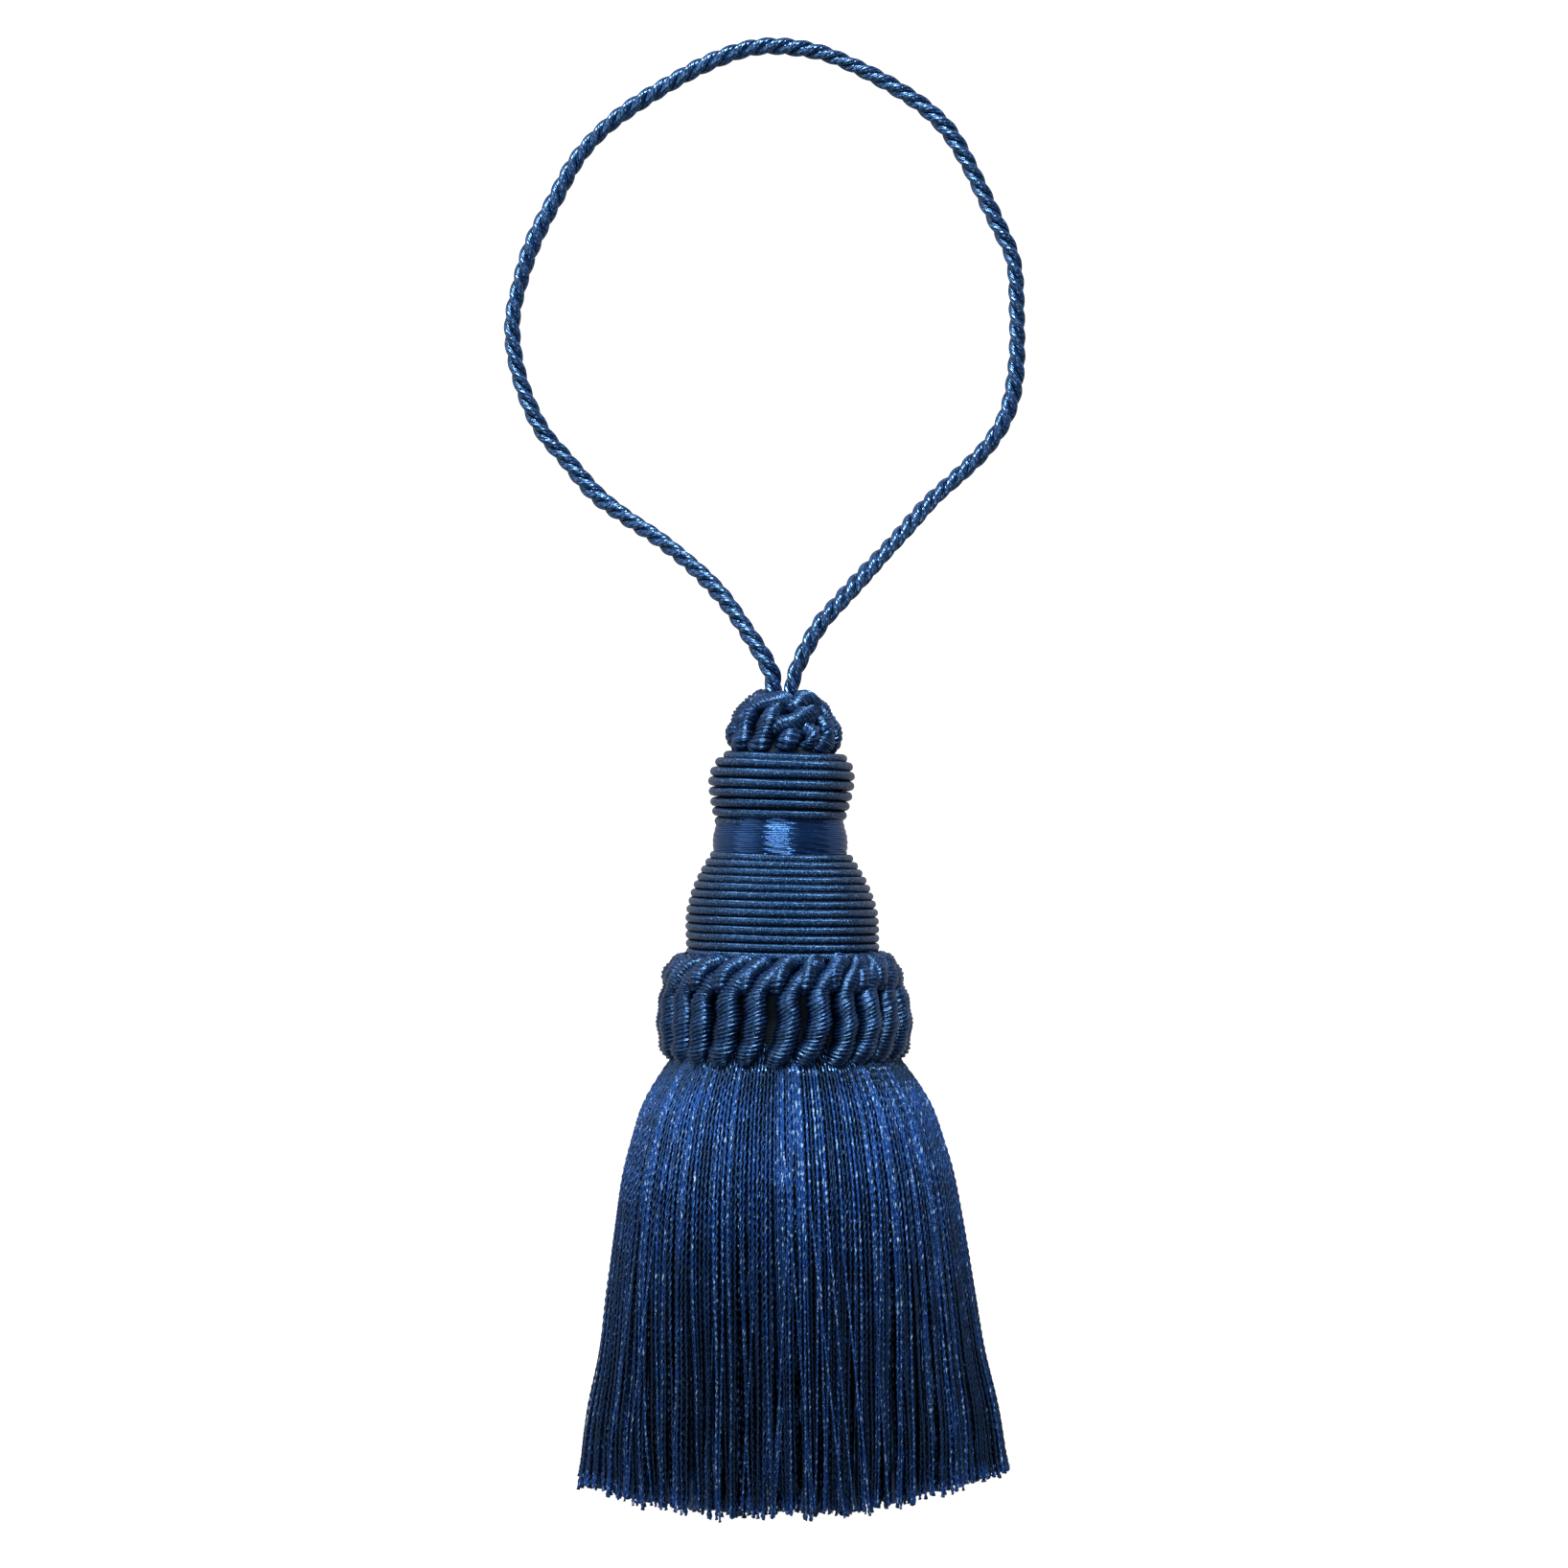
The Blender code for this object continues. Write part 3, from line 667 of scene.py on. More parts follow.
def spun_group():
    """Shader group of spun fibres: ridges that follow the yarn's map, a slow shade, and rare small painted
    glints.

    The ridges are half of 1 + sin(2 pi (around * u + along * v + unevenness * noise)). The shade is
    TONE_STEP * tone + MOTTLE_SPREAD * noise + MOTTLE_SHIFT, from 0 to 1, so it carries the tone's random
    unevenness and its painted light and shade. A glint is a painted highlight: it shows where a fine noise is
    over Rarity, as strong as the shade to the power Lit. Across and Down under 1 draw it out along X and Y.
    """
    if "spun fibres" in bpy.data.node_groups:
        return bpy.data.node_groups["spun fibres"]
    group = bpy.data.node_groups.new("spun fibres", "ShaderNodeTree")
    defaults = {
        "Around": 8.0, "Along": 1.0, "Unevenness": 0.5, "Mottle": 300.0, "Fleck": 3600.0, "Across": 1.0,
        "Down": 1.0, "Rarity": 0.6, "Lit": 1.0,
    }
    for name, value in defaults.items():
        socket = group.interface.new_socket(name, in_out="INPUT", socket_type="NodeSocketFloat")
        socket.default_value = value
    for name in ("Ridge", "Shade", "Glint"):
        group.interface.new_socket(name, in_out="OUTPUT", socket_type="NodeSocketFloat")

    def maths(operation, *values):
        return add_node(group, "ShaderNodeMath", dict(enumerate(values)), operation=operation).outputs[0]

    given = add_node(group, "NodeGroupInput").outputs
    place = add_node(group, "ShaderNodeTexCoord").outputs["Object"]
    noise = {"Vector": place, "Scale": given["Mottle"], "Detail": MOTTLE_DETAIL}
    mottle = add_node(group, "ShaderNodeTexNoise", noise).outputs["Fac"]

    yarn_map = add_node(group, "ShaderNodeUVMap", uv_map="yarn").outputs["UV"]
    split = add_node(group, "ShaderNodeSeparateXYZ", {"Vector": yarn_map})
    wave = maths("MULTIPLY", split.outputs["X"], given["Around"])
    wave = maths("MULTIPLY_ADD", split.outputs["Y"], given["Along"], wave)
    wave = maths("MULTIPLY_ADD", mottle, given["Unevenness"], wave)
    ridge = maths("MULTIPLY_ADD", maths("SINE", maths("MULTIPLY", wave, TURN)), 0.5, 0.5)

    tone = add_node(group, "ShaderNodeAttribute", attribute_name="tone").outputs["Fac"]
    shade = maths("MULTIPLY_ADD", mottle, MOTTLE_SPREAD, MOTTLE_SHIFT)
    shade = maths("MULTIPLY_ADD", tone, TONE_STEP, shade)
    shade = add_node(group, "ShaderNodeClamp", {"Value": shade}).outputs["Result"]

    stretch = {"X": given["Across"], "Y": given["Down"], "Z": 1.0}
    stretch = add_node(group, "ShaderNodeCombineXYZ", stretch).outputs["Vector"]
    spot = add_node(group, "ShaderNodeVectorMath", {0: place, 1: stretch}, operation="MULTIPLY")
    fleck = {"Vector": spot.outputs["Vector"], "Scale": given["Fleck"]}
    fleck = add_node(group, "ShaderNodeTexNoise", fleck).outputs["Fac"]
    edge = maths("ADD", given["Rarity"], GLINT_EDGE)
    rare = {"Value": fleck, "From Min": given["Rarity"], "From Max": edge}
    rare = add_node(group, "ShaderNodeMapRange", rare).outputs["Result"]
    glint = maths("MULTIPLY", rare, maths("POWER", shade, given["Lit"]))
    add_node(group, "NodeGroupOutput", {"Ridge": ridge, "Shade": shade, "Glint": glint})
    return group


def yarn_material(name, dark, light, finish):
    """Material of one kind of yarn, between its dark and its light dye, as its tone's painted light and shade
    and a random mottle pick, with painted glints.
    """
    material = bpy.data.materials.new(name)
    material.use_nodes = True
    tree = material.node_tree
    fibre = add_node(tree, "ShaderNodeGroup", node_tree=spun_group())
    set_inputs(fibre, finish.fibres)

    def mix(share, first, second):
        mixed = {"Factor": share, "A": first, "B": second}
        return add_node(tree, "ShaderNodeMix", mixed, data_type="RGBA").outputs["Result"]

    # random mottle and the tone's painted light and shade pick between the dark and light dye
    colour = mix(fibre.outputs["Shade"], (*dark, 1.0), (*light, 1.0))
    # painted highlights of the glints
    colour = mix(fibre.outputs["Glint"], colour, (*(finish.glint or light), 1.0))
    bump = add_node(
        tree, "ShaderNodeBump", {"Distance": finish.ridges * MM, "Height": fibre.outputs["Ridge"]}
    )
    surface = {
        "Base Color": colour, "Normal": bump.outputs["Normal"], "Roughness": finish.roughness,
        "IOR": finish.ior, "Specular IOR Level": finish.gloss, "Specular Tint": (*finish.tint, 1.0),
    }
    if finish.stretch:
        tangent = add_node(tree, "ShaderNodeTangent", direction_type="UV_MAP", uv_map="yarn")
        surface["Tangent"] = tangent.outputs["Tangent"]
        surface["Anisotropic"] = finish.stretch
    set_inputs(tree.nodes["Principled BSDF"], surface)
    return material


# ---------------------------------------------------------------- settings


def dye(name, description, default):
    """A setting that holds a colour."""
    return bpy.props.FloatVectorProperty(
        name=name, description=description, default=default, subtype="COLOR", min=0.0, max=1.0,
    )


def extent(name, description, default):
    """A setting that holds a length."""
    return bpy.props.FloatProperty(name=name, description=description, default=default, unit="LENGTH")


def count(name, description, default):
    """A setting that holds a number of like things, at least two."""
    return bpy.props.IntProperty(name=name, description=description, default=default, min=2)


def power(name, description, default):
    """A setting that holds a light's power."""
    return bpy.props.FloatProperty(name=name, description=description, default=default, unit="POWER")


def slope(name, description, degrees):
    """A setting that holds an angle."""
    return bpy.props.FloatProperty(
        name=name, description=description, default=math.radians(degrees), unit="ROTATION",
    )


class TasselColours(bpy.types.PropertyGroup):
    """Dye of the yarns, dark and light ends of each shade; the tone's painted light and shade and a random
    mottle pick between the two.
    """

    cord_dark: dye("Cord, dark", "Dye of the cords in their darker spots", (0.0008, 0.0034, 0.0120))
    cord_light: dye("Cord, light", "Dye of the cords in their lighter spots", (0.0065, 0.0240, 0.0900))
    gimp_dark: dye("Gimp, dark", "Dye of the wound gimp in its darker spots", (0.0008, 0.0036, 0.0130))
    gimp_light: dye("Gimp, light", "Dye of the wound gimp in its lighter spots", (0.0030, 0.0150, 0.0520))
    floss_dark: dye("Floss, dark", "Dye of the waist's floss in its darker spots", (0.0012, 0.0050, 0.0180))
    floss_light: dye("Floss, light", "Dye of the waist's floss in its lighter spots", (0.005, 0.020, 0.075))
    # the skirt's yarns go from the darker to the lighter dye mostly by their painted light and shade
    skirt_dark: dye("Skirt, dark", "Dye of the skirt's darker yarns", (0.0038, 0.0088, 0.0180))
    skirt_light: dye("Skirt, light", "Dye of the skirt's lighter yarns", (0.0080, 0.0560, 0.2700))
    # the mould is real, and its dark colour also stands in for the shade between the wraps
    mould: dye("Mould", "Dark paint of the mould under the cords", (0.0100, 0.0170, 0.0250))


class LoopSettings(bpy.types.PropertyGroup):
    """The hanging loop of three-ply cord."""

    diameter: extent("Diameter", "Diameter over the plies", 0.0030)
    core: extent("Core", "Diameter of the plain cord that has the loop's thickness", 0.0028)
    length: extent("Length", "Length of the whole cord, from one end in the cap to the other", 0.3075)
    lay: extent("Lay", "Length in which a ply goes once round", 0.0096)
    plies: count("Plies", "Plies that are twisted together", 3)


class BindingSettings(bpy.types.PropertyGroup):
    """The gimp and the floss that are wound round the mould."""

    upper_turns: bpy.props.FloatProperty(
        name="Upper turns", description="Turns of gimp over the waist", default=7.5,
    )
    lower_turns: count("Lower turns", "Turns of gimp under the waist", 13)
    floss_turns: count("Floss turns", "Turns of floss at the waist", 22)


class RuffSettings(bpy.types.PropertyGroup):
    """The thick cord of the cap and of the collar."""

    collar_wraps: count("Collar wraps", "Wraps round the collar", 24)
    thread: extent("Thread", "Width of the yarn that the cord is covered with", 0.00062)
    bulge: extent("Bulge", "Length between two bulges of the cord", 0.0039)
    slant: slope("Slant", "How far the covering yarn rises to the right", 26)
    relief: extent("Relief", "Depth between two turns of the covering yarn", 0.00040)


class SkirtSettings(bpy.types.PropertyGroup):
    """The skirt of two-ply bullion yarns."""

    yarns: count("Yarns", "Yarns in the outer row", 220)
    strays: count("Strays", "Yarns that cross over the front", 40)
    radius: extent("Yarn radius", "Half of a yarn's width", 0.0003)
    lay: extent("Yarn lay", "Length in which a yarn's two plies go once round", 0.0030)
    seed: bpy.props.IntProperty(name="Seed", description="Start of the yarns' unevenness", default=11)


class StudioSettings(bpy.types.PropertyGroup):
    """The camera over the tassel, the floor and the light."""

    distance: extent("Camera distance", "From the camera to the tassel's axis", 0.8)
    view: extent("View", "Width of what the camera sees at the axis", 0.2639)
    middle: extent("Middle", "Place along the axis that the camera is over", 0.039)
    key_angle: slope("Key angle", "How far the main light leans towards the loop, from overhead", 58)
    key_power: power("Key power", "Main light's power", 26.0)
    top_power: power("Top power", "Power of the light overhead", 3.5)
    side_power: power("Side power", "Power of the light at the upper left", 5.0)
    foot_power: power("Foot power", "Power of the light beyond the skirt's cut ends", 0.8)


SETTINGS = {
    "tassel_colours": TasselColours,
    "tassel_loop": LoopSettings,
    "tassel_binding": BindingSettings,
    "tassel_ruff": RuffSettings,
    "tassel_skirt": SkirtSettings,
    "tassel_studio": StudioSettings,
}


# ---------------------------------------------------------------- stage


def look_from(obj, place, target):
    """Turns an object at a place so that its own -Z points at the target and its Y leans towards +Y."""
    back = unit(np.subtract(place, target))
    across = unit(np.cross((0.0, 1.0, 0.0), back))
    up = np.cross(back, across)
    matrix = np.eye(4)
    matrix[:3] = np.stack([across, up, back, place], axis=1)
    obj.matrix_world = Matrix(matrix)


def add_camera(studio, target):
    """Adds the camera straight over the target, with a lens that sees the studio's view there."""
    data = bpy.data.cameras.new("camera")
    data.sensor_width = SENSOR_WIDTH
    data.lens = SENSOR_WIDTH * studio.distance / studio.view
    data.clip_start = NEAREST
    camera = add_object("camera", data)
    look_from(camera, (0.0, studio.middle, AXIS_HEIGHT + studio.distance), target)
    bpy.context.scene.camera = camera


def add_light(name, place, target, size, strength):
    """Adds a soft light of the given width and depth that faces the target."""
    data = bpy.data.lights.new(name, "AREA")
    data.shape = "RECTANGLE"
    data.size, data.size_y = size
    data.energy = strength
    look_from(add_object(name, data), place, target)


def for_camera(tree, seen, unseen):
    """A value that is seen where the camera sees the surface, and unseen where only light does."""
    path = add_node(tree, "ShaderNodeLightPath").outputs["Is Camera Ray"]
    value = {"Value": path, "To Min": unseen, "To Max": seen}
    return add_node(tree, "ShaderNodeMapRange", value).outputs["Result"]


def add_floor():
    """Adds the floor, a square that the camera sees as white and light sees as grey."""
    mesh = bpy.data.meshes.new("floor")
    signs = ((-1, -1), (1, -1), (1, 1), (-1, 1))
    mesh.from_pydata([(x * FLOOR_HALF, y * FLOOR_HALF, FLOOR_TOP) for x, y in signs], [], [(0, 1, 2, 3)])
    material = bpy.data.materials.new("floor")
    material.use_nodes = True
    tree = material.node_tree
    surface = {
        "Base Color": FLOOR_GREY, "Roughness": FLOOR_ROUGHNESS, "Emission Color": WHITE,
        "Emission Strength": for_camera(tree, 1.0, FLOOR_GLOW),
    }
    set_inputs(tree.nodes["Principled BSDF"], surface)
    mesh.materials.append(material)
    stage = add_object("floor", mesh)


def add_surroundings():
    """Adds the white world round the floor, and shows colours as they are."""
    world = bpy.data.worlds.new("studio")
    world.use_nodes = True
    strength = for_camera(world.node_tree, 1.0, SURROUNDINGS)
    set_inputs(world.node_tree.nodes["Background"], {"Color": WHITE, "Strength": strength})
    bpy.context.scene.world = world
    bpy.context.scene.view_settings.view_transform = "Standard"


class TASSEL_OT_studio(bpy.types.Operator):
    """Adds the camera, the pale floor, the soft light and the white surroundings"""

    bl_idname = "tassel.studio"
    bl_label = "Studio"

    def execute(self, context):
        studio = context.scene.tassel_studio
        middle = studio.middle
        target = (0.0, middle, AXIS_HEIGHT)
        add_camera(studio, target)
        key_along = middle + KEY_DISTANCE * math.sin(studio.key_angle)
        key_height = KEY_DISTANCE * math.cos(studio.key_angle)
        # columns: light, place, width and depth, power
        lights = (
            ("key", (-0.02, key_along, key_height), (0.62, 0.20), studio.key_power),
            ("top", (-0.10, middle, 1.10), (0.50, 0.50), studio.top_power),
            ("side", (-0.90, middle + 0.5, 0.45), (0.90, 0.90), studio.side_power),
            ("foot", (-0.02, middle - 1.0, 0.75), (0.50, 0.30), studio.foot_power),
        )
        for name, place, size, strength in lights:
            add_light(name, place, target, size, strength)
        add_floor()
        add_surroundings()
        return {"FINISHED"}


# ---------------------------------------------------------------- loop, ruffs, bindings and mould


class TASSEL_OT_hanging_loop(bpy.types.Operator):
    """Twists the three plies of the hanging loop along its route"""

    bl_idname = "tassel.hanging_loop"
    bl_label = "Hanging loop"

    def execute(self, context):
        loop = context.scene.tassel_loop
        colours = context.scene.tassel_colours
        curve = smooth_rows(LOOP_ROUTE)
        route, lengths = even_rows(curve, running_length(curve), loop.lay / RINGS_A_LAY)
        beat = np.sin(lengths / BEAT_LENGTHS[0]) * np.sin(lengths / BEAT_LENGTHS[1])
        swell = 1 + BEAT_SWELL * beat + SLOW_SWELL * np.sin(lengths / SLOW_LENGTH)
        # a ply's middle goes round the route once in a lay, to the left as it goes away
        ply_radius = loop.diameter * PLY_SHARE
        offset = (loop.diameter / 2 - ply_radius) * swell
        middles = round_section(loop.plies, offset, -TURN * lengths / loop.lay)
        lines = carry(route, UP, middles).transpose(1, 0, 2)
        points = carry(lines, lines - route, round_section(PLY_CORNERS, ply_radius * swell))
        mesh = tube_mesh("hanging_cord", points, lengths, LOOP_TONE + painted_crest_shade(PLY_CORNERS, LOOP_SHADED))
        material = yarn_material("loop_cord", colours.cord_dark, colours.cord_light, FINISHES["loop_cord"])
        piece = add_piece("hanging_cord", mesh, material, "loop_cord", "hanging_loop")
        return {"FINISHED"}


def cord_mesh(name, lines, inner, lengths, thick, lumps, ruff, chance):
    """A mesh of thick cords along lines, covered with yarn that is wound round them.

    A section is round, its radius thick * (1 + lumps * cos of the twist) - relief * (1 - crest). The crest is
    |sin(pi * length / width of the covering yarn)| to the power CREST_POWER. A ring is tilted by the slant,
    and the inner points say which way is outwards.
    """
    each = (len(lines), 1)
    phase = lengths / ruff.thread + chance.uniform(0, 1, each)
    crest = np.abs(np.sin(math.pi * phase)) ** CREST_POWER
    twist = TURN * lengths / ruff.bulge + chance.uniform(-BULGE_UNEVEN, BULGE_UNEVEN, each)
    section = round_section(CORD_CORNERS, thick * (1 + lumps * np.cos(twist)) - ruff.relief * (1 - crest))
    section[..., 2] = -math.tan(ruff.slant) * section[..., 0]
    # tone uneven at random, with painted shade in the grooves and at the cord's sides
    tone = chance.uniform(-TONE_UNEVEN, TONE_UNEVEN, each) - GROOVE_SHADED * (1 - crest)
    tone = tone[..., None] + painted_crest_shade(CORD_CORNERS, CORD_SHADED)
    return tube_mesh(name, carry(lines, lines - inner, section), lengths, tone)


def ruff_mesh(name, path, turns, ring, lumps, ruff, chance):
    """A mesh of the wraps of a ruff round its ring: the path, once for each turn.

    A wrap's middle lies at (radius, place) of the path, at its own turn plus the path's lean, and a slow wave
    moves it sideways and, with the wave of another wrap, outwards.
    """
    each = (len(turns), 1)
    pitch = turns[1] - turns[0]
    curve = smooth_rows(path)
    flat = np.stack([curve[:, 0], curve[:, 1], curve[:, 0] * curve[:, 2] * pitch], axis=-1)
    rows, lengths = even_rows(curve, running_length(flat), ruff.thread / RINGS_A_THREAD)
    radius, place, lean, thick = rows.T
    start = chance.uniform(0, WANDER_STARTS, each)
    wander = np.sin(lengths / lengths[-1] * WANDER_RADIANS + start)
    lean = lean * chance.uniform(1 - LEAN_UNEVEN, 1 + LEAN_UNEVEN, each)
    turn = turns[:, None] + (lean + SIDE_WANDER * wander) * pitch
    radius = radius * (1 + RADIUS_WANDER * wander[::-1])
    place = place + chance.uniform(-PLACE_UNEVEN, PLACE_UNEVEN, each)
    thick = thick * chance.uniform(1 - THICK_UNEVEN, 1 + THICK_UNEVEN, each)
    lines = on_axis(turn, radius, place)
    return cord_mesh(name, lines, on_axis(turn, *ring), lengths, thick, lumps, ruff, chance)


def ruff_material(name, colours):
    """Material of the ruffs' thick cord."""
    return yarn_material(name, colours.cord_dark, colours.cord_light, FINISHES["ruff_cord"])


class TASSEL_OT_cap_ruff(bpy.types.Operator):
    """Winds the thick cord of the cap, from its foot over its top and into the hole round the loop"""

    bl_idname = "tassel.cap_ruff"
    bl_label = "Cap ruff"

    def execute(self, context):
        ruff = context.scene.tassel_ruff
        material = ruff_material("cap_cord", context.scene.tassel_colours)
        chance = np.random.default_rng(CAP_SEED)
        mesh = ruff_mesh("cap_cord", CAP_PATH, np.radians(CAP_TURNS), CAP_RING, TOP_LUMPS, ruff, chance)
        add_piece("cap_cord", mesh, material, "ruff_cord", "cap_ruff")
        heart = on_axis(0.0, 0.0, CAP_RING[1])
        for number, wrap in enumerate(CAP_FRONT_WRAPS, start=1):
            # a front wrap's middle lies its own radius and depth under the outline, at its place across
            across, place, depth = smooth_rows(wrap).T
            radius = np.interp(place, *np.array(CAP_OUTLINE).T) - CAP_CORD_RADIUS - depth
            turn = np.arcsin(np.clip(across / radius, -WIDEST_SINE, WIDEST_SINE))
            curve = on_axis(turn, radius, place)
            line, lengths = even_rows(curve, running_length(curve), ruff.thread / RINGS_A_THREAD)
            name = f"cap_cord_{number}"
            mesh = cord_mesh(name, line[None], heart, lengths, CAP_CORD_RADIUS, FRONT_LUMPS, ruff, chance)
            add_piece(name, mesh, material, "ruff_cord")
        return {"FINISHED"}


class TASSEL_OT_collar_ruff(bpy.types.Operator):
    """Winds the thick cord of the collar over and under its ring"""

    bl_idname = "tassel.collar_ruff"
    bl_label = "Collar ruff"

    def execute(self, context):
        ruff = context.scene.tassel_ruff
        material = ruff_material("collar_cord", context.scene.tassel_colours)
        chance = np.random.default_rng(COLLAR_SEED)
        turns = math.radians(COLLAR_FIRST_TURN) + even_angles(ruff.collar_wraps)
        mesh = ruff_mesh("collar_cord", COLLAR_PATH, turns, COLLAR_RING, COLLAR_LUMPS, ruff, chance)
        add_piece("collar_cord", mesh, material, "ruff_cord", "collar_ruff")
        mesh = ruff_mesh("collar_top_cord", COLLAR_TOP_PATH, turns, COLLAR_TOP_RING, TOP_LUMPS, ruff, chance)
        add_piece("collar_top_cord", mesh, material, "ruff_cord")
        return {"FINISHED"}


def wind(winding, turns):
    """Points and lengths of a thread wound round the mould from its back, to the right as it goes down.

    Its outside lies on the outline. The turn grows evenly with the outline's running length, so each turn
    lies against the one before it. The last part, as long as the taper, thins and sinks under its neighbour.
    """
    outline = smooth_rows(winding.outline)
    along = running_length(outline)
    turn = np.arange(round(turns * RINGS_A_TURN) + 1) * TURN / RINGS_A_TURN
    place, radius = (np.interp(turn / turn[-1] * along[-1], along, column) for column in outline.T)
    waver = np.sin(turn * WAVER_RATES[0]) * np.sin(turn * WAVER_RATES[1] + 1)
    place = place + winding.waver * waver
    radius = radius + winding.ripple * np.sin(turn * RIPPLE_RATE)
    left = np.ones_like(turn)
    if winding.taper:
        left = np.clip((turn[-1] - turn) / (TURN * winding.taper), 0.0, 1.0)
    girth = winding.thread * (TAPER_END + (1 - TAPER_END) * np.sqrt(left))
    radius = radius - winding.thread * (1 + (1 - left) ** 2)
    line = on_axis(turn + math.pi, radius, place)
    points = carry(line, line - on_axis(turn, 0.0, place), round_section(winding.corners, girth))
    return points, running_length(line)


class TASSEL_OT_bindings(bpy.types.Operator):
    """Winds the gimp over and under the waist, and the floss between them"""

    bl_idname = "tassel.bindings"
    bl_label = "Bindings"

    def execute(self, context):
        colours = context.scene.tassel_colours
        dyes = {
            "gimp": (colours.gimp_dark, colours.gimp_light),
            "floss": (colours.floss_dark, colours.floss_light),
        }
        for winding in WINDINGS:
            turns = getattr(context.scene.tassel_binding, winding.turns)
            points, lengths = wind(winding, turns)
            tone = THREAD_TONE + painted_crest_shade(winding.corners, THREAD_SHADED)
            mesh = tube_mesh(winding.piece, points[None], lengths, tone)
            material = yarn_material(winding.piece, *dyes[winding.slot], FINISHES[winding.slot])
            add_piece(winding.piece, mesh, material, winding.slot, winding.node)
        return {"FINISHED"}


class TASSEL_OT_mould(bpy.types.Operator):
    """Turns the dark mould that the cords and gimp are wound on, which shows only between them, where its
    dark colour also stands in for the shade
    """

    bl_idname = "tassel.mould"
    bl_label = "Mould"

    def execute(self, context):
        place, radius = np.array(MOULD).T
        points = on_axis(-even_angles(MOULD_CORNERS), radius[:, None], place[:, None])
        mesh = tube_mesh("mould", points[None], place[0] - place, 0.0)
        paint = context.scene.tassel_colours.mould
        add_piece("mould", mesh, yarn_material("mould", paint, paint, FINISHES["mould"]), "gimp")
        return {"FINISHED"}


# ---------------------------------------------------------------- skirt


def section_points(share, depth, run):
    """Across and height of yarns in the skirt's section, and which way is outwards there.

    The section is two half circles joined by straight runs, set in by the depth. A yarn lies at its share of
    the line's length, from +X round by the front. share and depth are (yarns, rings), and run is (rings).
    """
    runs, *columns = smooth_rows(SKIRT_SECTIONS).T
    half_width, half_height, lowest = (np.interp(run, runs, column) for column in columns)
    radius = half_height - depth
    straight = half_width - half_height
    arc = radius * math.pi / 2
    quarter = straight + arc
    place = (share % 1.0) * 4 * quarter
    below = place >= 2 * quarter
    place = np.where(below, place - 2 * quarter, place)
    mirrored = place > quarter
    place = np.where(mirrored, 2 * quarter - place, place)
    angle = np.minimum(place / radius, math.pi / 2)
    to_right = np.where(mirrored != below, -1, 1)
    to_front = np.where(below, -1, 1)
    across = to_right * np.where(place < arc, straight + radius * np.cos(angle), straight - (place - arc))
    height = to_front * radius * np.sin(angle) + lowest + half_height
    outward = np.stack([to_right * np.cos(angle), np.zeros_like(angle), to_front * np.sin(angle)], axis=-1)
    return across, height, outward


def waves(run, each, chance):
    """A slow uneven wave along each yarn: sines of its run, each faster and lower than the one before it."""
    total = 0.0
    for wave in range(WAVES):
        start = chance.uniform(0, TURN, each)
        total = total + np.sin(run * (WAVE_RADIANS + WAVE_STEP * wave) + start) / (1 + wave)
    return total / WAVE_SHARE


def find_locks(share):
    """For each yarn, the way to the middle of its lock, the lock's level and how much sooner it is cut off.

    The locks are the same for every row of yarns, at uneven places round the skirt. A level under 0 is sunk.
    """
    middles, levels, ends = (
        np.random.default_rng(seed).uniform(lowest, highest, LOCKS)
        for seed, lowest, highest in (LOCK_MIDDLES, LOCK_LEVELS, LOCK_ENDS)
    )
    middles = (np.arange(LOCKS) + middles) / LOCKS
    away = (middles[None] - share[:, None] + 0.5) % 1.0 - 0.5
    nearest = np.abs(away).argmin(axis=1)
    return away[np.arange(len(share)), nearest], levels[nearest], ends[nearest]


def yarn_lines(share, depth, run, frayed, row, skirt, chance):
    """Middle lines of a row of yarns, which way is outwards, and the level of their locks along the run.

    A yarn goes evenly from the heading to its own cut end. It strays sideways and in depth by slow waves that
    grow along the run, and draws towards the middle of its own lock, with which it sinks or stands out, less
    so at the skirt's two sides.
    """
    each = (len(share), 1)
    radius = skirt.radius * row.girth
    inside = np.clip(run, 0, 1)
    grown = inside**STRAY_POWER
    calm = 1 - SIDE_CALM * np.cos(TURN * share[:, None]) ** CALM_POWER
    away, level, lock_end = find_locks(share)
    level = level[:, None] * inside**SINK_POWER

    beyond = np.clip(run - chance.uniform(0.0, DRIFT_STARTS, each), 0, 1)
    drift = chance.uniform(-1, 1, each) * calm * beyond * row.cross
    stray = waves(run, each, chance) * row.stray * calm * grown + drift
    pull = row.gather * GATHERED * calm * away[:, None] * inside**2
    placed = share[:, None] + stray / skirt.yarns + pull

    lift = chance.uniform(-1, 1, each) * (LIFT_START + LIFT_GROWN * grown)
    lift = lift + waves(run, each, chance) * LIFT_GROWN * grown
    lift = lift + (row.reach * beyond + row.gather * LOCK_DEPTH * level) * calm
    lift = lift + FRAYED_LIFT * frayed * chance.uniform(0, 1, each)
    across, height, outward = section_points(placed, depth + radius - lift, run)

    aside = across[:, -1] / TIP_HALF_WIDTH
    uneven = lock_end + chance.uniform(-1, 1, len(share)) * ENDS_UNEVEN
    tip = TIP_MIDDLE + TIP_RISE * aside**2 + TIP_TILT * aside + uneven + row.short
    along = HEADING_FOOT + run * (tip[:, None] - HEADING_FOOT)
    height = height * (1 - SIDE_SINK * inside * (across / TIP_HALF_WIDTH) ** 2)
    height = np.maximum(height, radius)
    across = across + SKIRT_START + SKIRT_DRIFT * run
    return np.stack([across, along, height], axis=-1), outward, level


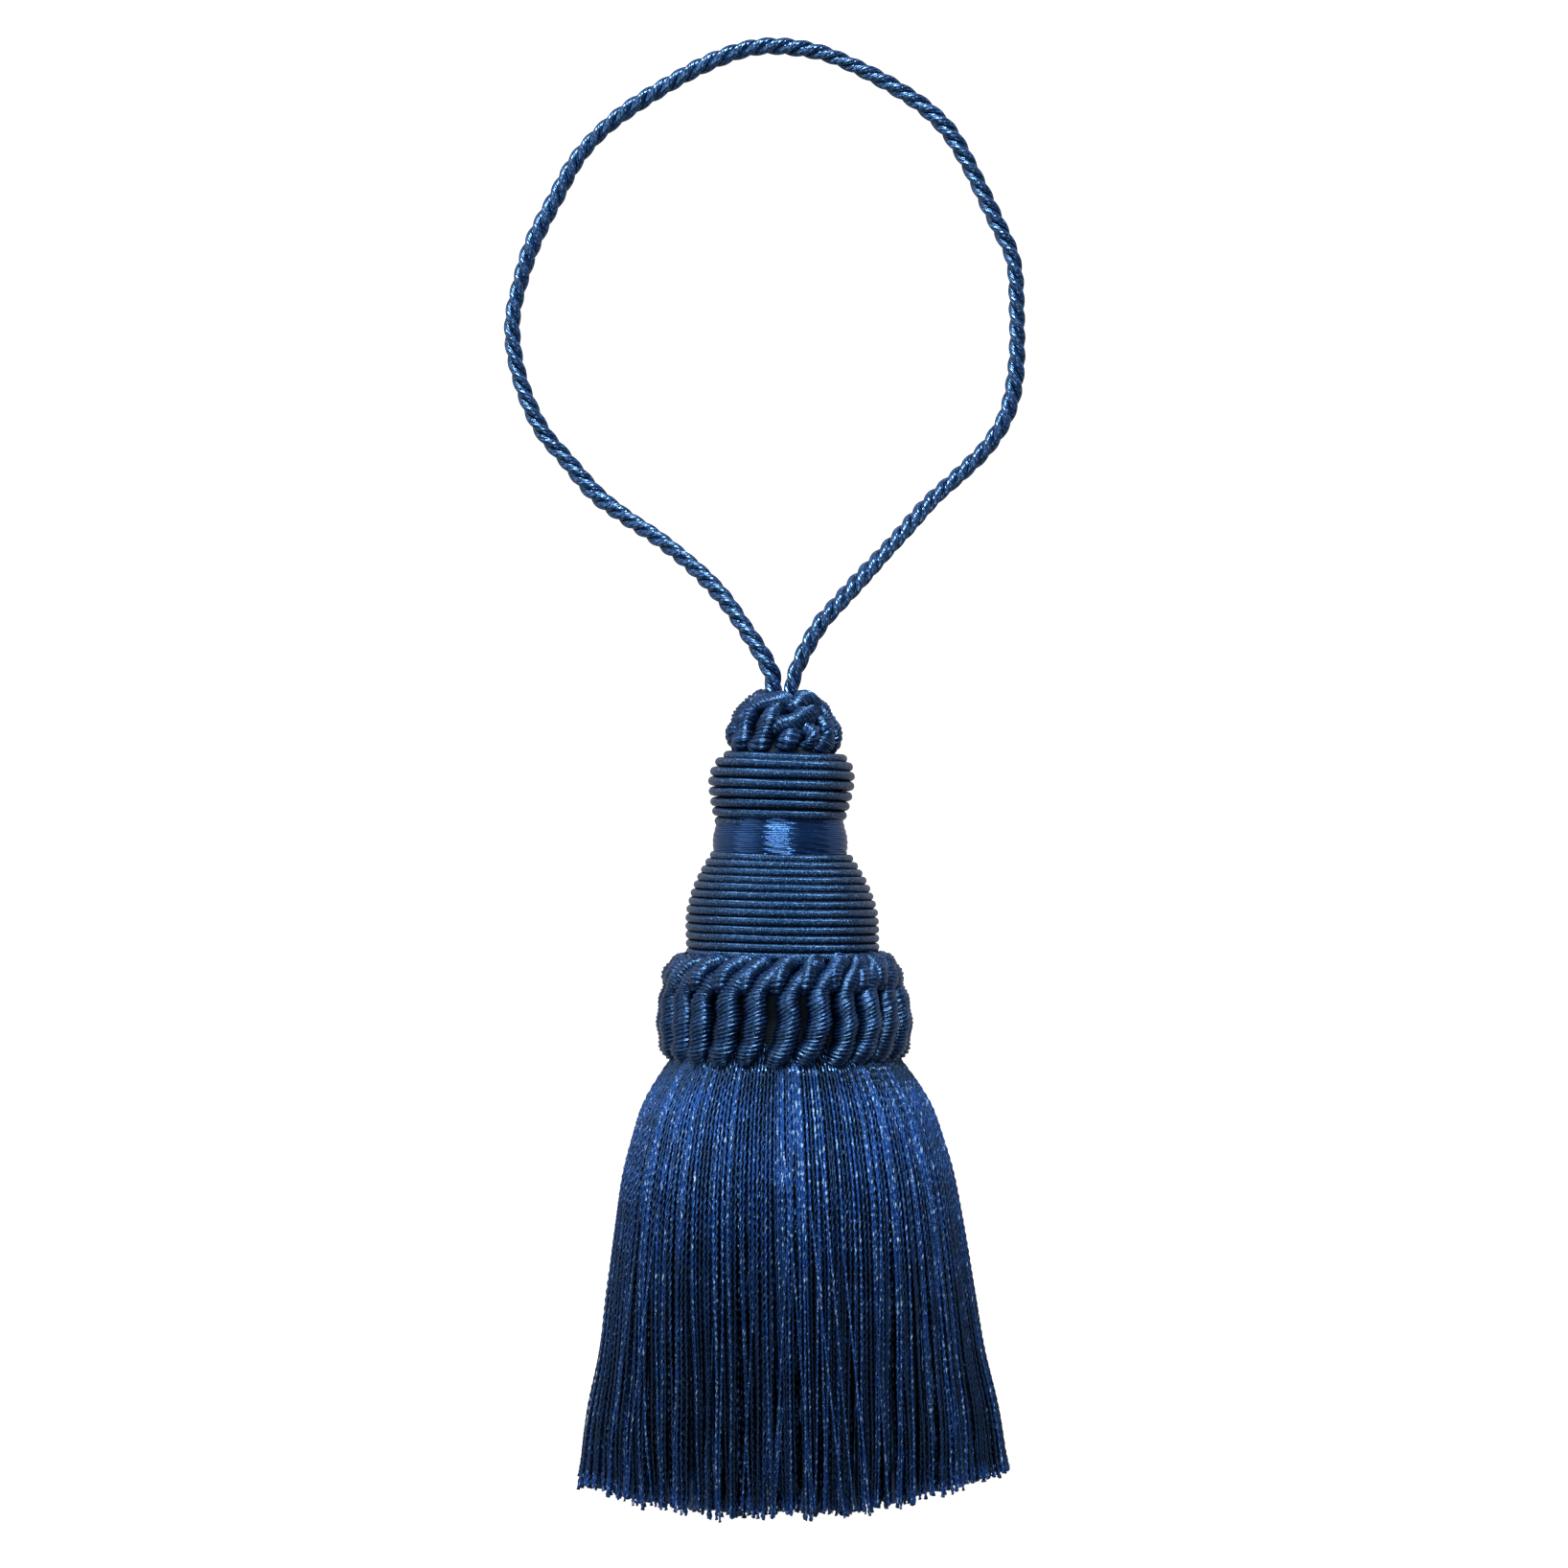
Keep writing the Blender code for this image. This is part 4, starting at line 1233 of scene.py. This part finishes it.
def yarn_tone(run, frayed, level, row, chance):
    """Tone along each yarn of a row.

    At the heading the yarns differ at random. At the cut ends a few yarns are painted as lit and most as
    shaded.
    The collar's painted shadow and the painted shade of sunk locks darken them, and frayed ends get a painted
    highlight.
    """
    each = (len(level), 1)
    inside = np.clip(run, 0, 1)
    # painted light: a few yarns lit at the cut ends, the rest shaded
    lit_at_end = DARKEST_SHADED_YARN + LIGHTEST_LIT_YARN * chance.uniform(0, 1, each) ** LIT_YARN_POWER
    at_heading = chance.uniform(-HEADING_UNEVEN, HEADING_UNEVEN, each)
    own = at_heading * (1 - inside) + lit_at_end * inside
    # painted shadow of the collar
    shadow = COLLAR_SHADOW * np.exp(-(((run - SHADOW_MIDDLE) / SHADOW_WIDTH) ** 2))
    return YARN_TONE + row.tone + own + FRAYED_HIGHLIGHT * frayed - shadow + LOCK_LIGHT_AND_SHADE * row.gather * level


def spin_yarns(name, share, depth, detail, row, skirt, chance, material, *nodes):
    """Adds a row of two-ply yarns, one for each share, hanging from the heading to its own cut end.

    A yarn's section has two lobes, radius * max(|cos|, PLY_DIP) of the angle, and turns once in a lay. It is
    painted darker, as shade, in the dips between the lobes and where it faces sideways or inwards. detail is
    rings in a lay and corners of a ring.
    """
    each = (len(share), 1)
    rings_a_lay, corners = detail
    rings = round((HEADING_FOOT - TIP_MIDDLE) / skirt.lay * rings_a_lay)
    run = np.linspace(SKIRT_SECTIONS[0][0], 1.0, rings)
    frayed = np.clip((run - FRAYED_FROM) / (1 - FRAYED_FROM), 0, 1)
    lines, outward, level = yarn_lines(share, depth, run, frayed, row, skirt, chance)

    lengths = running_length(lines)
    lay = skirt.lay * chance.uniform(1 - LAY_UNEVEN, 1 + LAY_UNEVEN, each)
    turn = chance.uniform(0, TURN, each) + TURN * lengths / lay
    lobes = np.maximum(np.abs(np.cos(even_angles(corners))), PLY_DIP)
    section = round_section(corners, skirt.radius * row.girth * (1 + FRAYED_SWELL * frayed), turn)
    points = carry(lines, outward, section * lobes[:, None])

    # painted shade in the dips and where the yarn faces sideways, partly lost at frayed ends
    facing = np.sin(turn[..., None] + even_angles(corners))
    shaded = DIP_SHADED * (1 - lobes) + SIDE_SHADED * (1 - facing)
    tone = yarn_tone(run, frayed, level, row, chance)[..., None]
    tone = tone - shaded * (1 - FRAYED_RELIEF * frayed[:, None])
    add_piece(name, tube_mesh(name, points, lengths, tone), material, "skirt_yarn", *nodes)


class TASSEL_OT_skirt(bpy.types.Operator):
    """Spins the skirt's yarns, row behind row, from the heading under the collar to their cut ends"""

    bl_idname = "tassel.skirt"
    bl_label = "Skirt"

    def execute(self, context):
        skirt = context.scene.tassel_skirt
        colours = context.scene.tassel_colours
        chance = np.random.default_rng(skirt.seed)
        material = yarn_material(
            "bullion_yarn", colours.skirt_dark, colours.skirt_light, FINISHES["skirt_yarn"]
        )

        def spin(name, share, depth, detail, row, *nodes):
            spin_yarns(name, share, depth, detail, row, skirt, chance, material, *nodes)

        outer = np.arange(skirt.yarns) / skirt.yarns
        bounds = np.linspace(0.0, 0.5, FRONT_PIECES + 1)
        for number, (low, high) in enumerate(zip(bounds, bounds[1:]), start=1):
            stands_for = ("skirt",) if number == 1 else ()
            part = outer[(outer >= low) & (outer < high)]
            spin(f"skirt_front_{number}", part, 0.0, FRONT_DETAIL, OUTER_ROW, *stands_for)
        spin("skirt_back", outer[outer >= 0.5], 0.0, BACK_DETAIL, OUTER_ROW)
        strays = np.sort(chance.uniform(*STRAY_SHARES, skirt.strays))
        spin("skirt_strays", strays, 0.0, STRAY_DETAIL, STRAY_ROW)
        second = (np.arange(SECOND_YARNS) + 0.5) / SECOND_YARNS
        spin("skirt_second", second[second < 0.5], SECOND_DEPTH, BACK_DETAIL, SECOND_ROW)
        spin("skirt_second_back", second[second >= 0.5], SECOND_DEPTH, SECOND_BACK_DETAIL, SECOND_ROW)
        for number, (depth, yarns) in enumerate(CORE_ROWS, start=1):
            share = (np.arange(yarns) + 0.5) / yarns
            spin(f"skirt_core_{number}", share, depth, CORE_DETAIL, CORE_ROW)
        return {"FINISHED"}


# ---------------------------------------------------------------- panel and main


class TASSEL_PT_panel(bpy.types.Panel):
    """Lists the tassel's pieces and their settings"""

    bl_idname = "TASSEL_PT_panel"
    bl_label = "Key tassel"
    bl_space_type = "VIEW_3D"
    bl_region_type = "UI"
    bl_category = "Tassel"

    def draw(self, context):
        for operator in OPERATORS:
            self.layout.operator(operator.bl_idname)
        for name, group in SETTINGS.items():
            box = self.layout.box()
            for prop in group.__annotations__:
                box.prop(getattr(context.scene, name), prop)


OPERATORS = (
    TASSEL_OT_studio,
    TASSEL_OT_hanging_loop,
    TASSEL_OT_cap_ruff,
    TASSEL_OT_bindings,
    TASSEL_OT_collar_ruff,
    TASSEL_OT_mould,
    TASSEL_OT_skirt,
)
CLASSES = (*SETTINGS.values(), *OPERATORS, TASSEL_PT_panel)


def register():
    """Registers the classes, and puts the settings on the scene."""
    for cls in CLASSES:
        bpy.utils.register_class(cls)
    for name, group in SETTINGS.items():
        setattr(bpy.types.Scene, name, bpy.props.PointerProperty(type=group))


def unregister():
    """Takes the settings and the classes away again."""
    for name in SETTINGS:
        delattr(bpy.types.Scene, name)
    for cls in reversed(CLASSES):
        bpy.utils.unregister_class(cls)


def main():
    """Makes the stage and every piece."""
    register()
    bpy.ops.tassel.studio()
    bpy.ops.tassel.hanging_loop()
    bpy.ops.tassel.cap_ruff()
    bpy.ops.tassel.bindings()
    bpy.ops.tassel.collar_ruff()
    bpy.ops.tassel.mould()
    bpy.ops.tassel.skirt()


if __name__ == "__main__":
    main()
